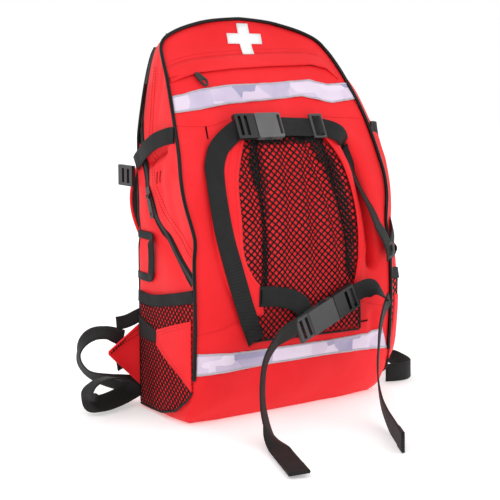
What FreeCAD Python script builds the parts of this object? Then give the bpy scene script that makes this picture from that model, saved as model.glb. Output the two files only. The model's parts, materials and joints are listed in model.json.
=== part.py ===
import FreeCAD, Part
import math
import os

# Upright trauma backpack. Millimetres. It stands on z = 0, its front faces -Y and
# the wearer's side faces +Y. The origin is on the floor, midway across the base.

V = FreeCAD.Vector

# ---- driving dimensions -------------------------------------------------------
HALF_WIDTH = 150.0      # of the body, at its widest
HEIGHT = 500.0
BACK_Y = 46.0           # outer face of the back panel
REAR_RADIUS = 30.0      # rounding of the two rear edges, seen from above
WALL = 3.0              # fabric, foam and lining together
WEB = 25.0              # webbing width
WEB_T = 2.0             # webbing thickness
GAP = 0.4               # air between pieces of different bodies
REACH = 700.0           # longer than the object, for cutting prisms

# Heights on the front panel
LOWER_BAND = (67.0, 90.0)
UPPER_BAND = (376.0, 408.0)
BUCKLE_Z = 352.0
BUCKLE_X = -42.0
GLIDE_X = 56.0
POCKET_ZIP_Z = 423.0
FLAP_Z = (430.0, 443.0)
CROSS_Z = 466.0
CROSS_SIZE = 52.0
CROSS_ARM = 17.0

# How far each layer stands out from the front panel
MESH_LAYER = (0.4, 3.0)
WING_LAYER = (3.4, 5.6)
STRAP_LAYER = (6.0, 6.0 + WEB_T)
BUCKLE_LIFT = 14.2      # middle of a buckle

# Zip along the gusset, as (y, z): up over the top, and slanting forward below
ZIP_CROWN = (36.5, 600.0)
ZIP_RISE = (36.5, 486.0)
ZIP_TOP = (14.0, 400.0)
ZIP_BEND = (14.0, 330.0)
ZIP_KNEE = (-22.0, 240.0)
ZIP_FOOT = (-98.0, 188.0)
ZIP_WIDTH = 12.0
SLIDER_START = 62.0     # from the bend down the straight run to the slider
PIN_R = 1.0
PIN_CLEARANCE = 0.08

# Buckles: the lower one has webbing bars on both halves, so it is longer
BUCKLE_W = 33.0
BUCKLE_T = 11.0
UPPER_BODY = 38.0
UPPER_MALE = 29.0
LOWER_BODY = 42.0
LOWER_MALE = 35.0
LADDER = 20.0           # webbing bars on the lower female half
LOWER_TILT = 23.0       # degrees, of the lower buckle's line above level
LOWER_MOUTH = (45.0, 131.0)     # x, z of the mouth of its female half

# Shoulder harness
STRAP_WIDTH = 58.0
STRAP_T = 13.0
STRAP_HINGE = (60.0, 432.0)     # y, z

# Side pockets
POCKET_TOP = 150.0
POCKET_DEPTH = 8.0
POCKET_FRONT_Y = -97.0
POCKET_REAR_Y = 20.0

# Routes of the free webbing, as middle lines
LEFT_TAIL = [(-44, -147, 110), (-55, -153, 76), (-72, -169, 46), (-94, -196, 23),
             (-117, -231, 12.7), (-137, -271, 12.7), (-151, -314, 12.7)]
RIGHT_TAIL = [(121, -147, 138), (116, -153, 102), (106, -167, 67), (88, -190, 36),
              (64, -221, 16), (40, -256, 12.7), (19, -294, 12.7)]
LEFT_LOOP = [(-184, 57, 80), (-198, 60, 102), (-226, 64, 104), (-246, 66, 80),
             (-242, 65, 50), (-218, 61, 33), (-190, 57, 27), (-164, 56, 27)]
LEFT_COIL = [(-175, 26, 12.7), (-183, -3, 12.7), (-204, -24, 12.7), (-231, -22, 12.7),
             (-248, 2, 12.7), (-241, 31, 12.7), (-214, 38, 12.7)]
RIGHT_LOOP = [(184, 50, 78), (204, 42, 58), (222, 24, 36), (234, -2, 19),
              (236, -32, 12.7), (222, -58, 12.7), (195, -64, 12.7), (175, -43, 12.7)]


# ---- outlines -----------------------------------------------------------------
def arc(a, b, c):
    return Part.Arc(a, b, c).toShape()


def line(a, b):
    return Part.LineSegment(a, b).toShape()


def side_wire():
    """Side view of the body, in the plane x = 0."""
    p = lambda y, z: V(0, y, z)
    edges = [line(p(BACK_Y, 0), p(-78, 0)),
             arc(p(-78, 0), p(-98, 28), p(-106, 70)),
             arc(p(-106, 70), p(-109, 140), p(-104, 215)),
             arc(p(-104, 215), p(-66, 345), p(8, 455)),
             line(p(8, 455), p(24, 484)),
             arc(p(24, 484), p(33, HEIGHT), p(42, 488)),
             line(p(42, 488), p(42, 400)),
             arc(p(42, 400), p(45, 370), p(BACK_Y, 340)),
             line(p(BACK_Y, 340), p(BACK_Y, 0))]
    return Part.Wire(edges)


def front_wire():
    """Front view of the body, in the plane y = 0."""
    right = [((132, 0), (145, 7), (HALF_WIDTH, 26)),
             ((HALF_WIDTH, 26), (HALF_WIDTH, 330)),
             ((HALF_WIDTH, 330), (143, 395), (121, 466)),
             ((121, 466), (110, 485), (88, 494)),
             ((88, 494), (45, 499), (0, HEIGHT))]
    edges = [line(V(-132, 0, 0), V(132, 0, 0))]
    for side in (1, -1):
        for run in right:
            points = [V(side * x, 0, z) for x, z in run]
            if side < 0:
                points.reverse()
            edges.append(arc(*points) if len(points) == 3 else line(*points))
    return Part.Wire(Part.__sortEdges__(edges))


def plan_wire():
    """View from above: square in front, rounded at the two rear edges."""
    x, y, r = HALF_WIDTH, BACK_Y, REAR_RADIUS
    diagonal = r * math.sqrt(0.5)
    front = -REACH
    edges = [line(V(-x, front, 0), V(x, front, 0)),
             line(V(x, front, 0), V(x, y - r, 0)),
             arc(V(x, y - r, 0), V(x - r + diagonal, y - r + diagonal, 0), V(x - r, y, 0)),
             line(V(x - r, y, 0), V(r - x, y, 0)),
             arc(V(r - x, y, 0), V(r - x - diagonal, y - r + diagonal, 0), V(-x, y - r, 0)),
             line(V(-x, y - r, 0), V(-x, front, 0))]
    return Part.Wire(edges)


def prism(wire, grow, direction):
    """The outline, offset outwards by grow, as a long bar centred on the origin."""
    outline = wire.makeOffset2D(grow) if grow else wire
    face = Part.Face(outline)
    face.translate(direction * -REACH)
    return face.extrude(direction * (2 * REACH))


def side_bar(grow):
    return prism(side_wire(), grow, V(1, 0, 0))


def front_bar(grow):
    return prism(front_wire(), grow, V(0, 1, 0))


def envelope(grow):
    body = side_bar(grow).common(front_bar(grow))
    return body.common(prism(plan_wire(), grow, V(0, 0, 1)))


def polygon_bar(points, plane, low=-REACH, high=REACH):
    """A polygon given in the plane yz or xz, as a bar from low to high across it."""
    if plane == "yz":
        corners = [V(low, a, b) for a, b in points]
        along = V(high - low, 0, 0)
    else:
        corners = [V(a, low, b) for a, b in points]
        along = V(0, high - low, 0)
    return Part.Face(Part.makePolygon(corners + corners[:1])).extrude(along)


def ribbon_bar(path, width, plane, low=-REACH, high=REACH):
    """A band of constant width along a path in the plane yz or xz, as a bar."""
    pieces = []
    for (a, b), (c, d) in zip(path, path[1:]):
        run = math.hypot(c - a, d - b)
        nx, nz = -(d - b) / run * width / 2, (c - a) / run * width / 2
        corners = [(a + nx, b + nz), (c + nx, d + nz), (c - nx, d - nz), (a - nx, b - nz)]
        pieces.append(polygon_bar(corners, plane, low, high))
    for a, b in path[1:-1]:
        centre, axis = (V(low, a, b), V(1, 0, 0)) if plane == "yz" else (V(a, low, b), V(0, 1, 0))
        pieces.append(Part.makeCylinder(width / 2, high - low, centre, axis))
    return pieces[0].multiFuse(pieces[1:]).removeSplitter() if len(pieces) > 1 else pieces[0]


def box(low, high):
    size = [h - l for l, h in zip(low, high)]
    return Part.makeBox(*size, V(*low))


def mirrored(shape):
    return shape.mirror(V(0, 0, 0), V(1, 0, 0))


# ---- the front surface ----------------------------------------------------------
def circle_through(p, q, r):
    """Centre and radius of the circle through three points of a plane."""
    ax, ay = q[0] - p[0], q[1] - p[1]
    bx, by = r[0] - p[0], r[1] - p[1]
    d = 2 * (ax * by - ay * bx)
    ux = (by * (ax * ax + ay * ay) - ay * (bx * bx + by * by)) / d
    uy = (ax * (bx * bx + by * by) - bx * (ax * ax + ay * ay)) / d
    return p[0] + ux, p[1] + uy, math.hypot(ux, uy)


def front_point(x, z, lift):
    """A point at height z on the front panel, lifted off it, and the outward normal."""
    if z < 215:
        cy, cz, r = circle_through((-106, 70), (-109, 140), (-104, 215))
    else:
        cy, cz, r = circle_through((-104, 215), (-66, 345), (8, 455))
    y = cy - math.sqrt(r * r - (z - cz) ** 2)
    normal = V(0, y - cy, z - cz).normalize()
    return V(x, y, z) + normal * lift, normal


FRONT_ZONE = polygon_bar([(-REACH, WALL), (0, WALL), (0, 400), (30, 490), (30, 600),
                          (-REACH, 600)], "yz")
BACK_ZONE = polygon_bar([(20, WALL), (90, WALL), (90, 490), (34, 490), (20, 400)], "yz")


def front_layer(bar, inner, outer):
    """The part of a bar along y that lies between two distances from the front panel."""
    skin = side_bar(outer).cut(side_bar(inner))
    return bar.common(skin).common(FRONT_ZONE)


def placed(shape, origin, along, normal):
    """Moves a shape drawn with x along and z outwards to a place on a surface."""
    across = normal.cross(along)
    m = FreeCAD.Matrix(along.x, across.x, normal.x, origin.x,
                       along.y, across.y, normal.y, origin.y,
                       along.z, across.z, normal.z, origin.z, 0, 0, 0, 1)
    out = shape.copy()
    out.Placement = FreeCAD.Placement(m)
    return out


# ---- body panels ----------------------------------------------------------------
def panels():
    outside = envelope(0)
    inside = envelope(-WALL)
    front = front_layer(outside, -WALL, 0)
    back = outside.common(side_bar(0).cut(side_bar(-WALL))).common(BACK_ZONE)
    base = outside.common(box((-REACH, -REACH, 0), (REACH, REACH, WALL)))
    walls = outside.cut(inside).cut(front).cut(back).cut(base)
    split_z = 440.0
    left = walls.common(box((-REACH, -REACH, 0), (0, REACH, split_z)))
    right = walls.common(box((0, -REACH, 0), (REACH, REACH, split_z)))
    top = walls.common(box((-REACH, -REACH, split_z), (REACH, REACH, REACH * 2)))
    return {"front_panel": front, "back_panel": back, "base_panel": base,
            "gusset_left": left, "gusset_right": right, "top_gusset": top}


def front_piping():
    ring = front_bar(2.6).cut(front_bar(0))
    return front_layer(ring, -3.4, 1.2)


def gusset_ribbon(path, width, outer):
    """A band that follows the gusset, seen from the side as a ribbon along a path."""
    skin = envelope(outer).cut(envelope(0))
    return skin.common(ribbon_bar(path, width, "yz"))


def rear_piping():
    return gusset_ribbon([(26, 412), (26, WALL)], 4.0, 2.0)


def main_zip():
    return gusset_ribbon([ZIP_CROWN, ZIP_RISE, ZIP_TOP, ZIP_BEND, ZIP_KNEE, ZIP_FOOT],
                         ZIP_WIDTH, 1.0)


# ---- zip sliders ------------------------------------------------------------------
def slider_body():
    """Drawn with the track along x, and z = 0 on the face that it slides over."""
    plate = Part.makeBox(10.4, 9, 3.4, V(-13, -4.5, 0))
    plate = plate.makeFillet(1.2, [e for e in plate.Edges if e.BoundBox.ZLength > 3])
    posts = [Part.makeBox(4.8, 1.4, 4.2, V(-3.6, side - 0.7, 1.0)) for side in (-3.8, 3.8)]
    pin = Part.makeCylinder(PIN_R, 9.0, V(0, -4.5, 4.2), V(0, 1, 0))
    return plate.multiFuse(posts + [pin])


def slider_pull():
    """The pull on the slider's pin, lying along +x."""
    knuckle = Part.makeCylinder(2.1, 5.4, V(0, -2.7, 4.2), V(0, 1, 0))
    tab = Part.makeBox(24, 8, 1.6, V(3.2, -4, 3.4))
    tab = tab.makeFillet(2.4, [e for e in tab.Edges if e.BoundBox.ZLength > 1.5])
    neck = Part.makeBox(4, 4, 1.6, V(0, -2, 3.4))
    hole = Part.makeCylinder(2.0, 4, V(21.5, 0, 2.4))
    bore = Part.makeCylinder(PIN_R + PIN_CLEARANCE, 10, V(0, -5, 4.2), V(0, 1, 0))
    return knuckle.multiFuse([tab, neck]).cut(bore).cut(hole)


def main_sliders():
    dy, dz = ZIP_KNEE[0] - ZIP_BEND[0], ZIP_KNEE[1] - ZIP_BEND[1]
    run = math.hypot(dy, dz)
    along = V(0, dy / run, dz / run)
    start = V(-HALF_WIDTH - 1.0 - GAP, ZIP_BEND[0], ZIP_BEND[1]) + along * SLIDER_START
    out = {}
    for name, draw in (("slider", slider_body), ("pull", slider_pull)):
        left = placed(draw(), start, along, V(-1, 0, 0))
        out["main_zip_%s_left" % name] = left
        out["main_zip_%s_right" % name] = mirrored(left)
    return out


def pocket_zip():
    half = 124.0
    tape = polygon_bar([(-half, 416.5), (half, 416.5), (half, 429.6), (-half, 429.6)], "xz")
    flap_low, flap_high = FLAP_Z
    flap = polygon_bar([(-half - 4, flap_low), (half + 4, flap_low), (half - 4, flap_high),
                        (4 - half, flap_high)], "xz")
    origin, normal = front_point(-92.0, POCKET_ZIP_Z, 1.0 + GAP)
    return {"pocket_zip_tape": front_layer(tape, 0, 1.0),
            "pocket_flap": front_layer(flap, 0, 2.4),
            "pocket_zip_slider": placed(slider_body(), origin, V(1, 0, 0), normal),
            "pocket_zip_pull": placed(slider_pull(), origin, V(1, 0, 0), normal)}


# ---- trim on the front ----------------------------------------------------------
def reflective_band(low, high):
    strip = polygon_bar([(-REACH, low), (REACH, low), (REACH, high), (-REACH, high)], "xz")
    return front_layer(strip.common(front_bar(-2.0)), 0, 0.8)


def aid_cross():
    half, arm = CROSS_SIZE / 2, CROSS_ARM / 2
    squash = 0.82       # the panel leans back, so its heights shorten
    level = polygon_bar([(-half, CROSS_Z - arm * squash), (half, CROSS_Z - arm * squash),
                         (half, CROSS_Z + arm * squash), (-half, CROSS_Z + arm * squash)], "xz")
    upright = polygon_bar([(-arm, CROSS_Z - half * squash), (arm, CROSS_Z - half * squash),
                           (arm, CROSS_Z + half * squash), (-arm, CROSS_Z + half * squash)], "xz")
    return front_layer(level.fuse(upright).removeSplitter(), 0, 0.8)


def mesh_panel():
    outline = [(-60, 346), (-76, 316), (-85, 270), (-88, 210), (-88, 99), (92, 99),
               (92, 210), (86, 270), (76, 316), (60, 346)]
    return front_layer(polygon_bar(outline, "xz"), *MESH_LAYER)


def mesh_wings():
    left = [(-58, 366), (-60, 346), (-78, 300), (-84, 250), (-76, 200), (-58, 166), (-58, 138),
            (-72, 138), (-112, 190), (-120, 260), (-108, 330), (-82, 366)]
    right = [(56, 366), (60, 346), (78, 300), (86, 250), (86, 180), (98, 150), (104, 200),
             (108, 260), (100, 330), (80, 366)]
    return Part.makeCompound([front_layer(polygon_bar(side, "xz"), *WING_LAYER)
                              for side in (left, right)])


def front_straps():
    runs = {"arch_strap_left": [(-65, 104), (-86, 160), (-107, 222), (-108, 282), (-96, 330),
                                (-66, BUCKLE_Z)],
            "arch_strap_right": [(-10, BUCKLE_Z), (78, BUCKLE_Z), (103, 330), (114, 298),
                                 (124, 262), (133, 215), (136, 192)],
            "lower_strap_left": [(-64, 155), (-32, 151), (-6, 141), (6, 131)],
            "lower_strap_right": [(60, 138), (94, 152)]}
    out = {}
    for name, path in runs.items():
        out[name] = front_layer(ribbon_bar(path, WEB, "xz"), *STRAP_LAYER)
    halves = [out.pop("lower_strap_left"), out.pop("lower_strap_right")]
    out["lower_straps"] = Part.makeCompound(halves)
    return out


# ---- buckles ------------------------------------------------------------------------
def rounded_box(low, high, radius):
    block = box(low, high)
    return block.makeFillet(radius, block.Edges)


def webbing_slots(first, count, pitch=9.0):
    return [box((first + k * pitch, -12.8, -BUCKLE_T), (first + k * pitch + 4.4, 12.8, BUCKLE_T))
            for k in range(count)]


def buckle_female(length, ladder=0.0):
    """Mouth at x = 0, body towards +x, middle of its thickness at z = 0."""
    w, t = BUCKLE_W / 2, BUCKLE_T / 2
    body = rounded_box((0, -w, -t), (length, w, t), 2.0)
    body = body.cut(box((-1, -w + 3, -t + 2), (29, w - 3, t - 2)))
    body = body.cut(box((9, -w - 1, -t + 2.4), (21, w + 1, t - 2.4)))
    if ladder:
        frame = rounded_box((length - 3, -w, -t + 2), (length + ladder, w, t - 2), 1.4)
        for slot in webbing_slots(length + 2.0, 2):
            frame = frame.cut(slot)
        return body.fuse(frame)
    return body.cut(webbing_slots(length - 6.5, 1)[0])


def buckle_male(length):
    """Base and webbing bars behind x = 0, prongs inside the female half."""
    w, t = BUCKLE_W / 2, BUCKLE_T / 2
    male = rounded_box((-length, -w, -t + 1), (-GAP, w, t - 1), 1.6)
    for slot in webbing_slots(3.5 - length, 2):
        male = male.cut(slot)
    prongs = [box((-2, y, -2.6), (25, y + 3.4, 2.6)) for y in (-12.6, 9.2)]
    guide = box((-2, -2.2, -2.2), (22, 2.2, 2.2))
    return male.multiFuse(prongs + [guide])


def tri_glide():
    frame = rounded_box((-10, -BUCKLE_W / 2, -2), (10, BUCKLE_W / 2, 2), 1.4)
    for x in (-7.0, 2.4):
        frame = frame.cut(box((x, -12.8, -4), (x + 4.6, 12.8, 4)))
    return frame


def buckles():
    east = V(1, 0, 0)
    upper, upper_normal = front_point(BUCKLE_X, BUCKLE_Z, BUCKLE_LIFT)
    glide, glide_normal = front_point(GLIDE_X, BUCKLE_Z, STRAP_LAYER[1] + 2.0 + GAP)
    tilt = math.radians(LOWER_TILT)
    rise = V(math.cos(tilt), 0, math.sin(tilt))
    mouth, _ = front_point(LOWER_MOUTH[0], LOWER_MOUTH[1], BUCKLE_LIFT + 1.5)
    facing = V(0, -1, 0)
    female = buckle_female(LOWER_BODY, LADDER)
    return {"upper_buckle_female": placed(buckle_female(UPPER_BODY), upper, east, upper_normal),
            "upper_buckle_male": placed(buckle_male(UPPER_MALE), upper, east, upper_normal),
            "tri_glide": placed(tri_glide(), glide, east, glide_normal),
            "lower_buckle_female": placed(female, mouth, rise * -1, facing),
            "lower_buckle_male": placed(buckle_male(LOWER_MALE), mouth, rise * -1, facing)}


# ---- free webbing ----------------------------------------------------------------------
def rounded_path(name, points):
    """Straight runs joined by tangent arcs, each as large as its two runs allow."""
    points = [V(*p) for p in points]
    edges, start, radii = [], points[0], []
    for before, corner, after in zip(points, points[1:], points[2:]):
        into, out = corner - before, after - corner
        half_turn = into.getAngle(out) / 2
        reach = 0.45 * min(into.Length, out.Length)
        radius = reach / math.tan(half_turn)
        a = corner - into.normalize() * reach
        b = corner + out.normalize() * reach
        towards = ((a + b) * 0.5 - corner).normalize()
        middle = corner + towards * (radius / math.cos(half_turn) - radius)
        edges += [line(start, a), arc(a, middle, b)]
        start = b
        radii.append(radius)
    edges.append(line(start, points[-1]))
    wire = Part.Wire(edges)
    print(name, "length", round(wire.Length, 1), "radii", [round(r) for r in radii])
    return wire


def webbing_tube(name, points):
    wire = rounded_path(name, points)
    heading = V(*points[1]) - V(*points[0])
    section = Part.Wire(Part.makeCircle(WEB / 2, V(*points[0]), heading))
    tube = wire.makePipeShell([section], True, False)
    expected = math.pi * (WEB / 2) ** 2 * wire.Length
    print(name, "volume ratio", round(tube.Volume / expected, 4), "valid", tube.isValid())
    return tube


def end_tab(points, length=26.0):
    """Folded and stitched end of a strap, standing on its edge past the last point."""
    tip = V(*points[-1])
    heading = tip - V(*points[-2])
    heading.z = 0
    heading.normalize()
    tab = box((0, -2.2, -12.4), (length, 2.2, 12.4))
    return placed(tab, tip, heading, V(0, 0, 1))


def free_webbing():
    routes = {"left_tail": LEFT_TAIL, "right_tail": RIGHT_TAIL, "left_adjuster_loop": LEFT_LOOP,
              "left_adjuster_tail": LEFT_COIL, "right_adjuster_loop": RIGHT_LOOP}
    out = {name: webbing_tube(name, points) for name, points in routes.items()}
    out["left_tail_tab"] = end_tab(LEFT_TAIL)
    out["right_tail_tab"] = end_tab(RIGHT_TAIL)
    return out


# ---- sides ---------------------------------------------------------------------------------
def side_pocket():
    """Mesh bottle pocket on the left gusset: open at its top."""
    x, depth = -HALF_WIDTH, POCKET_DEPTH
    low, high = 5.0, POCKET_TOP
    outer = box((x - depth, POCKET_FRONT_Y, low), (x - GAP / 4, POCKET_REAR_Y, high))
    corner = [e for e in outer.Edges if e.BoundBox.XLength > 5 and e.BoundBox.ZMax < low + 1]
    outer = outer.makeFillet(22.0, corner)
    hollow = box((x - depth + 1.4, POCKET_FRONT_Y + 3, low + 20), (x + 1, POCKET_REAR_Y - 3, high + 1))
    return outer.common(side_bar(-5.0)).cut(hollow)


def side_pieces():
    x, face = -HALF_WIDTH, -HALF_WIDTH - POCKET_DEPTH
    hem = box((face - 1.6, POCKET_FRONT_Y, POCKET_TOP - 16), (face, POCKET_REAR_Y, POCKET_TOP))
    patch = polygon_bar([(-24, 108), (-92, 122), (-92, 50), (-70, 52), (-24, 92)], "yz",
                        face - 1.0, face)
    strap = ribbon_bar([(-68, 349), (-38, 350), (-8, 334), (26, 312)], 20.0, "yz", x - 5.4, x - 3.4)
    loop = box((x - 7.6, -20, 166), (x - 6, -10, 228))
    for z in (166.0, 218.0):
        loop = loop.fuse(box((x - 7.6, -20, z), (x - 0.1, -10, z + 10)))
        loop = loop.fuse(box((x - 1.6, -20, z), (x - 0.1, 14, z + 10)))
    lock = box((x - 7, 30, 282), (x - 2, 66, 308))
    for y in (37.0, 50.0):
        lock = lock.cut(box((x - 8, y, 286), (x - 1, y + 6, 304)))
    wing = polygon_bar([(-143, 108), (-190, 62), (-186, 50), (-143, 30)], "xz", 32, 35)
    tab = box((-188, 38, 96), (-140, 41, 120))
    return {"bottle_pocket": side_pocket(), "pocket_hem": hem, "pocket_patch": patch,
            "compression_strap": strap, "side_loop": loop.removeSplitter(), "ladder_lock": lock,
            "anchor_wing": wing.cut(envelope(0)), "waist_tab": tab.cut(envelope(0))}


# ---- wearer's side ------------------------------------------------------------------------
def shoulder_strap():
    """Padded left strap, curving outwards and standing off the back."""
    y, z = STRAP_HINGE
    band = ribbon_bar([(-67, z), (-88, 370), (-100, 300), (-101, 230), (-92, 150)],
                      STRAP_WIDTH, "xz")
    points = [V(0, y, z), V(0, 86, 300), V(0, 68, 150)]
    cy, cz, r = circle_through(*[(p.y, p.z) for p in points])
    tube = Part.makeCylinder(r + STRAP_T / 2, 2 * REACH, V(-REACH, cy, cz), V(1, 0, 0))
    tube = tube.cut(Part.makeCylinder(r - STRAP_T / 2, 2 * REACH, V(-REACH, cy, cz), V(1, 0, 0)))
    return band.common(tube).common(box((-REACH, 0, 158), (0, REACH, z)))


def harness():
    strap = shoulder_strap()
    lock = box((-110, 66, 118), (-76, 71, 157.6))
    for z in (123.0, 136.0):
        lock = lock.cut(box((-106, 60, z), (-80, 80, z + 7)))
    run = polygon_bar([(-104, 116), (-80, 116), (-146, 58), (-146, 78)], "xz", 54, 56)
    return {"shoulder_strap": strap, "strap_lock": lock, "adjuster_webbing": run}


def back_pieces():
    pad = box((-104, BACK_Y, 40), (104, BACK_Y + 7, 405))
    uprights = [e for e in pad.Edges if e.BoundBox.YLength > 5]
    pad = pad.makeFillet(24.0, uprights)
    yoke = box((-98, 42, 446), (98, 50, 472))
    anchor = box((-34, 50, 450), (34, 53, 468))
    grip = Part.makeCylinder(6.0, 44, V(-22, 61, 412), V(1, 0, 0))
    legs = [box((x, 59, 410), (x + 10, 63, 449)) for x in (-32, 22)]
    handle = grip.multiFuse(legs)
    for x in (-32, 22):
        handle = handle.fuse(Part.makeCylinder(6.0, 10, V(x, 61, 412), V(1, 0, 0)))
    return {"back_padding": pad, "strap_yoke": yoke, "handle_anchor": anchor,
            "grab_handle": handle.removeSplitter()}


def inside_pieces():
    sheet = box((-108, 35.5, 8), (108, 38, 396))
    board = box((-132, -70, WALL + 0.2), (132, 30, WALL + 2.7))
    divider = box((-140, -10, 6), (140, -8, 240))
    loops = box((-126, -14, 120), (126, -12.6, 150))
    for k in range(8):
        stitch = -126 + 36 * k - 2
        loops = loops.fuse(box((stitch if k else -126, -14, 120), (min(stitch + 4, 126), -10, 150)))
    return {"frame_sheet": sheet, "base_board": board, "inner_divider": divider,
            "organiser_loops": loops.removeSplitter()}


# Sewn-on trim that is the same on both sides is kept as one node of two solids.
PAIRED_NODES = {"pocket_hem": "pocket_hems", "pocket_patch": "pocket_patches",
                "side_loop": "side_loops", "anchor_wing": "anchor_wings",
                "waist_tab": "waist_tabs", "compression_strap": "compression_straps",
                "adjuster_webbing": "adjuster_webbing"}


def build():
    parts = {}
    parts.update(panels())
    parts["front_piping"] = front_piping()
    parts["rear_piping"] = rear_piping()
    parts["main_zip_tape"] = main_zip()
    parts.update(main_sliders())
    parts.update(pocket_zip())
    parts["lower_reflective_band"] = reflective_band(*LOWER_BAND)
    parts["upper_reflective_band"] = reflective_band(*UPPER_BAND)
    parts["aid_cross"] = aid_cross()
    parts["mesh_panel"] = mesh_panel()
    parts["mesh_wings"] = mesh_wings()
    parts.update(front_straps())
    parts.update(buckles())
    parts.update(free_webbing())
    for name, shape in list(side_pieces().items()) + list(harness().items()):
        if name in PAIRED_NODES:
            parts[PAIRED_NODES[name]] = Part.makeCompound([shape, mirrored(shape)])
        else:
            parts[name + "_left"] = shape
            parts[name + "_right"] = mirrored(shape)
    parts.update(back_pieces())
    parts.update(inside_pieces())
    return parts


os.makedirs("parts", exist_ok=True)
for node, shape in build().items():
    shape.exportStep("parts/%s.step" % node)
    print(node, len(shape.Solids), shape.isValid(), round(shape.Volume))
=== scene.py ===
import json
import math

import bmesh
import bpy
import numpy as np
from mathutils import Matrix, Vector, noise
from mathutils.bvhtree import BVHTree


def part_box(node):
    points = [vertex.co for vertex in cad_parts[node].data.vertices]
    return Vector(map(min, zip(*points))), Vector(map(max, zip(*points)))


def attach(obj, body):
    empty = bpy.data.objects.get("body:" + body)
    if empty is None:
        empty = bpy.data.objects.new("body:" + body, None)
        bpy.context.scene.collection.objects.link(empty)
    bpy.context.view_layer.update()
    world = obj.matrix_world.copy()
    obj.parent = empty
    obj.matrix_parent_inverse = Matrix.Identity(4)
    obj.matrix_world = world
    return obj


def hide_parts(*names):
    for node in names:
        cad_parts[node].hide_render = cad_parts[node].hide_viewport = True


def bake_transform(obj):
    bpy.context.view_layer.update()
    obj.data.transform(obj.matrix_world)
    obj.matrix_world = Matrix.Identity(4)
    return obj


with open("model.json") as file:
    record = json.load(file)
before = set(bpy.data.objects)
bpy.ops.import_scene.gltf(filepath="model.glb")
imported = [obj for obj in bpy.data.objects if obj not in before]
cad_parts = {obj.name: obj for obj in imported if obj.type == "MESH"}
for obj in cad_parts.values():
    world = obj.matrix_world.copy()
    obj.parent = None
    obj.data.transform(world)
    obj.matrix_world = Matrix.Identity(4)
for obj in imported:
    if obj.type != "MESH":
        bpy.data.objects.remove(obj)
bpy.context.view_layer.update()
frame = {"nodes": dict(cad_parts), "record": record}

# Upright trauma backpack. Sizes are in millimetres and turned to metres only where a
# mesh is made. The bag stands on z = 0, its front faces -Y and the wearer's side +Y.

MM = 0.001


# Camera and floor: lens and sensor in mm, places in metres, tilt and turn in degrees
LENS, SENSOR = 86.4, 36.0
CAMERA_PLACE = (-0.8717, -1.2940, 0.4258)
CAMERA_TILT, CAMERA_TURN = 81.5, -34.0
LIGHT_AIM = (0.0, 0.0, 0.25)
FLOOR_REACH, FLOOR_DROP = 6.0, 0.0004
# Ribs in one unit of a wave texture whose scale is 1
RIBS_PER_UNIT = 3.1831
# How stiff the simulated cloth is, and for how many frames it settles
CLOTH_STIFFNESS, CLOTH_FRAMES = 12.0, 20
# Width and height of a cell of the bottle pockets' net, in mm
POCKET_NET = (3.7, 4.3)


def node_box(node):
    """Low and high corner of a CAD node, in mm."""
    low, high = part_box(node)
    return np.array(low) / MM, np.array(high) / MM


# ---- camera, floor and light ---------------------------------------------------------
def build_view():
    scene = bpy.context.scene
    scene.view_settings.view_transform = "Standard"
    camera = bpy.data.objects.new("camera", bpy.data.cameras.new("camera"))
    camera.data.lens = LENS
    camera.data.sensor_width = SENSOR
    camera.location = CAMERA_PLACE
    camera.rotation_euler = (math.radians(CAMERA_TILT), 0.0, math.radians(CAMERA_TURN))
    scene.collection.objects.link(camera)
    scene.camera = camera

    world = bpy.data.worlds.new("studio")
    world.use_nodes = True
    world.node_tree.nodes["Background"].inputs["Color"].default_value = (1.0, 1.0, 1.0, 1.0)
    world.node_tree.nodes["Background"].inputs["Strength"].default_value = 1.0
    scene.world = world

    for name, place, size, power in (("key", (-1.3, -0.9, 1.5), 0.9, 6.0),
                                     ("fill", (1.4, -1.3, 0.9), 0.9, 2.0)):
        data = bpy.data.lights.new(name, "AREA")
        data.size = size
        data.energy = power
        lamp = bpy.data.objects.new(name, data)
        lamp.location = place
        aim = Vector(LIGHT_AIM) - Vector(place)
        lamp.rotation_euler = aim.to_track_quat("-Z", "Y").to_euler()
        scene.collection.objects.link(lamp)

    mesh = bpy.data.meshes.new("floor")
    mesh.from_pydata([(a * FLOOR_REACH, b * FLOOR_REACH, -FLOOR_DROP)
                      for a, b in ((-1, -1), (1, -1), (1, 1), (-1, 1))], [], [(0, 1, 2, 3)])
    floor = bpy.data.objects.new("floor", mesh)
    scene.collection.objects.link(floor)
    pale = bpy.data.materials.new("pale_floor")
    pale.use_nodes = True
    shader = pale.node_tree.nodes["Principled BSDF"]
    shader.inputs["Base Color"].default_value = (0.95, 0.95, 0.95, 1.0)
    shader.inputs["Roughness"].default_value = 0.7
    shader.inputs["Emission Color"].default_value = (1.0, 1.0, 1.0, 1.0)
    shader.inputs["Emission Strength"].default_value = 0.28
    mesh.materials.append(pale)


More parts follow.
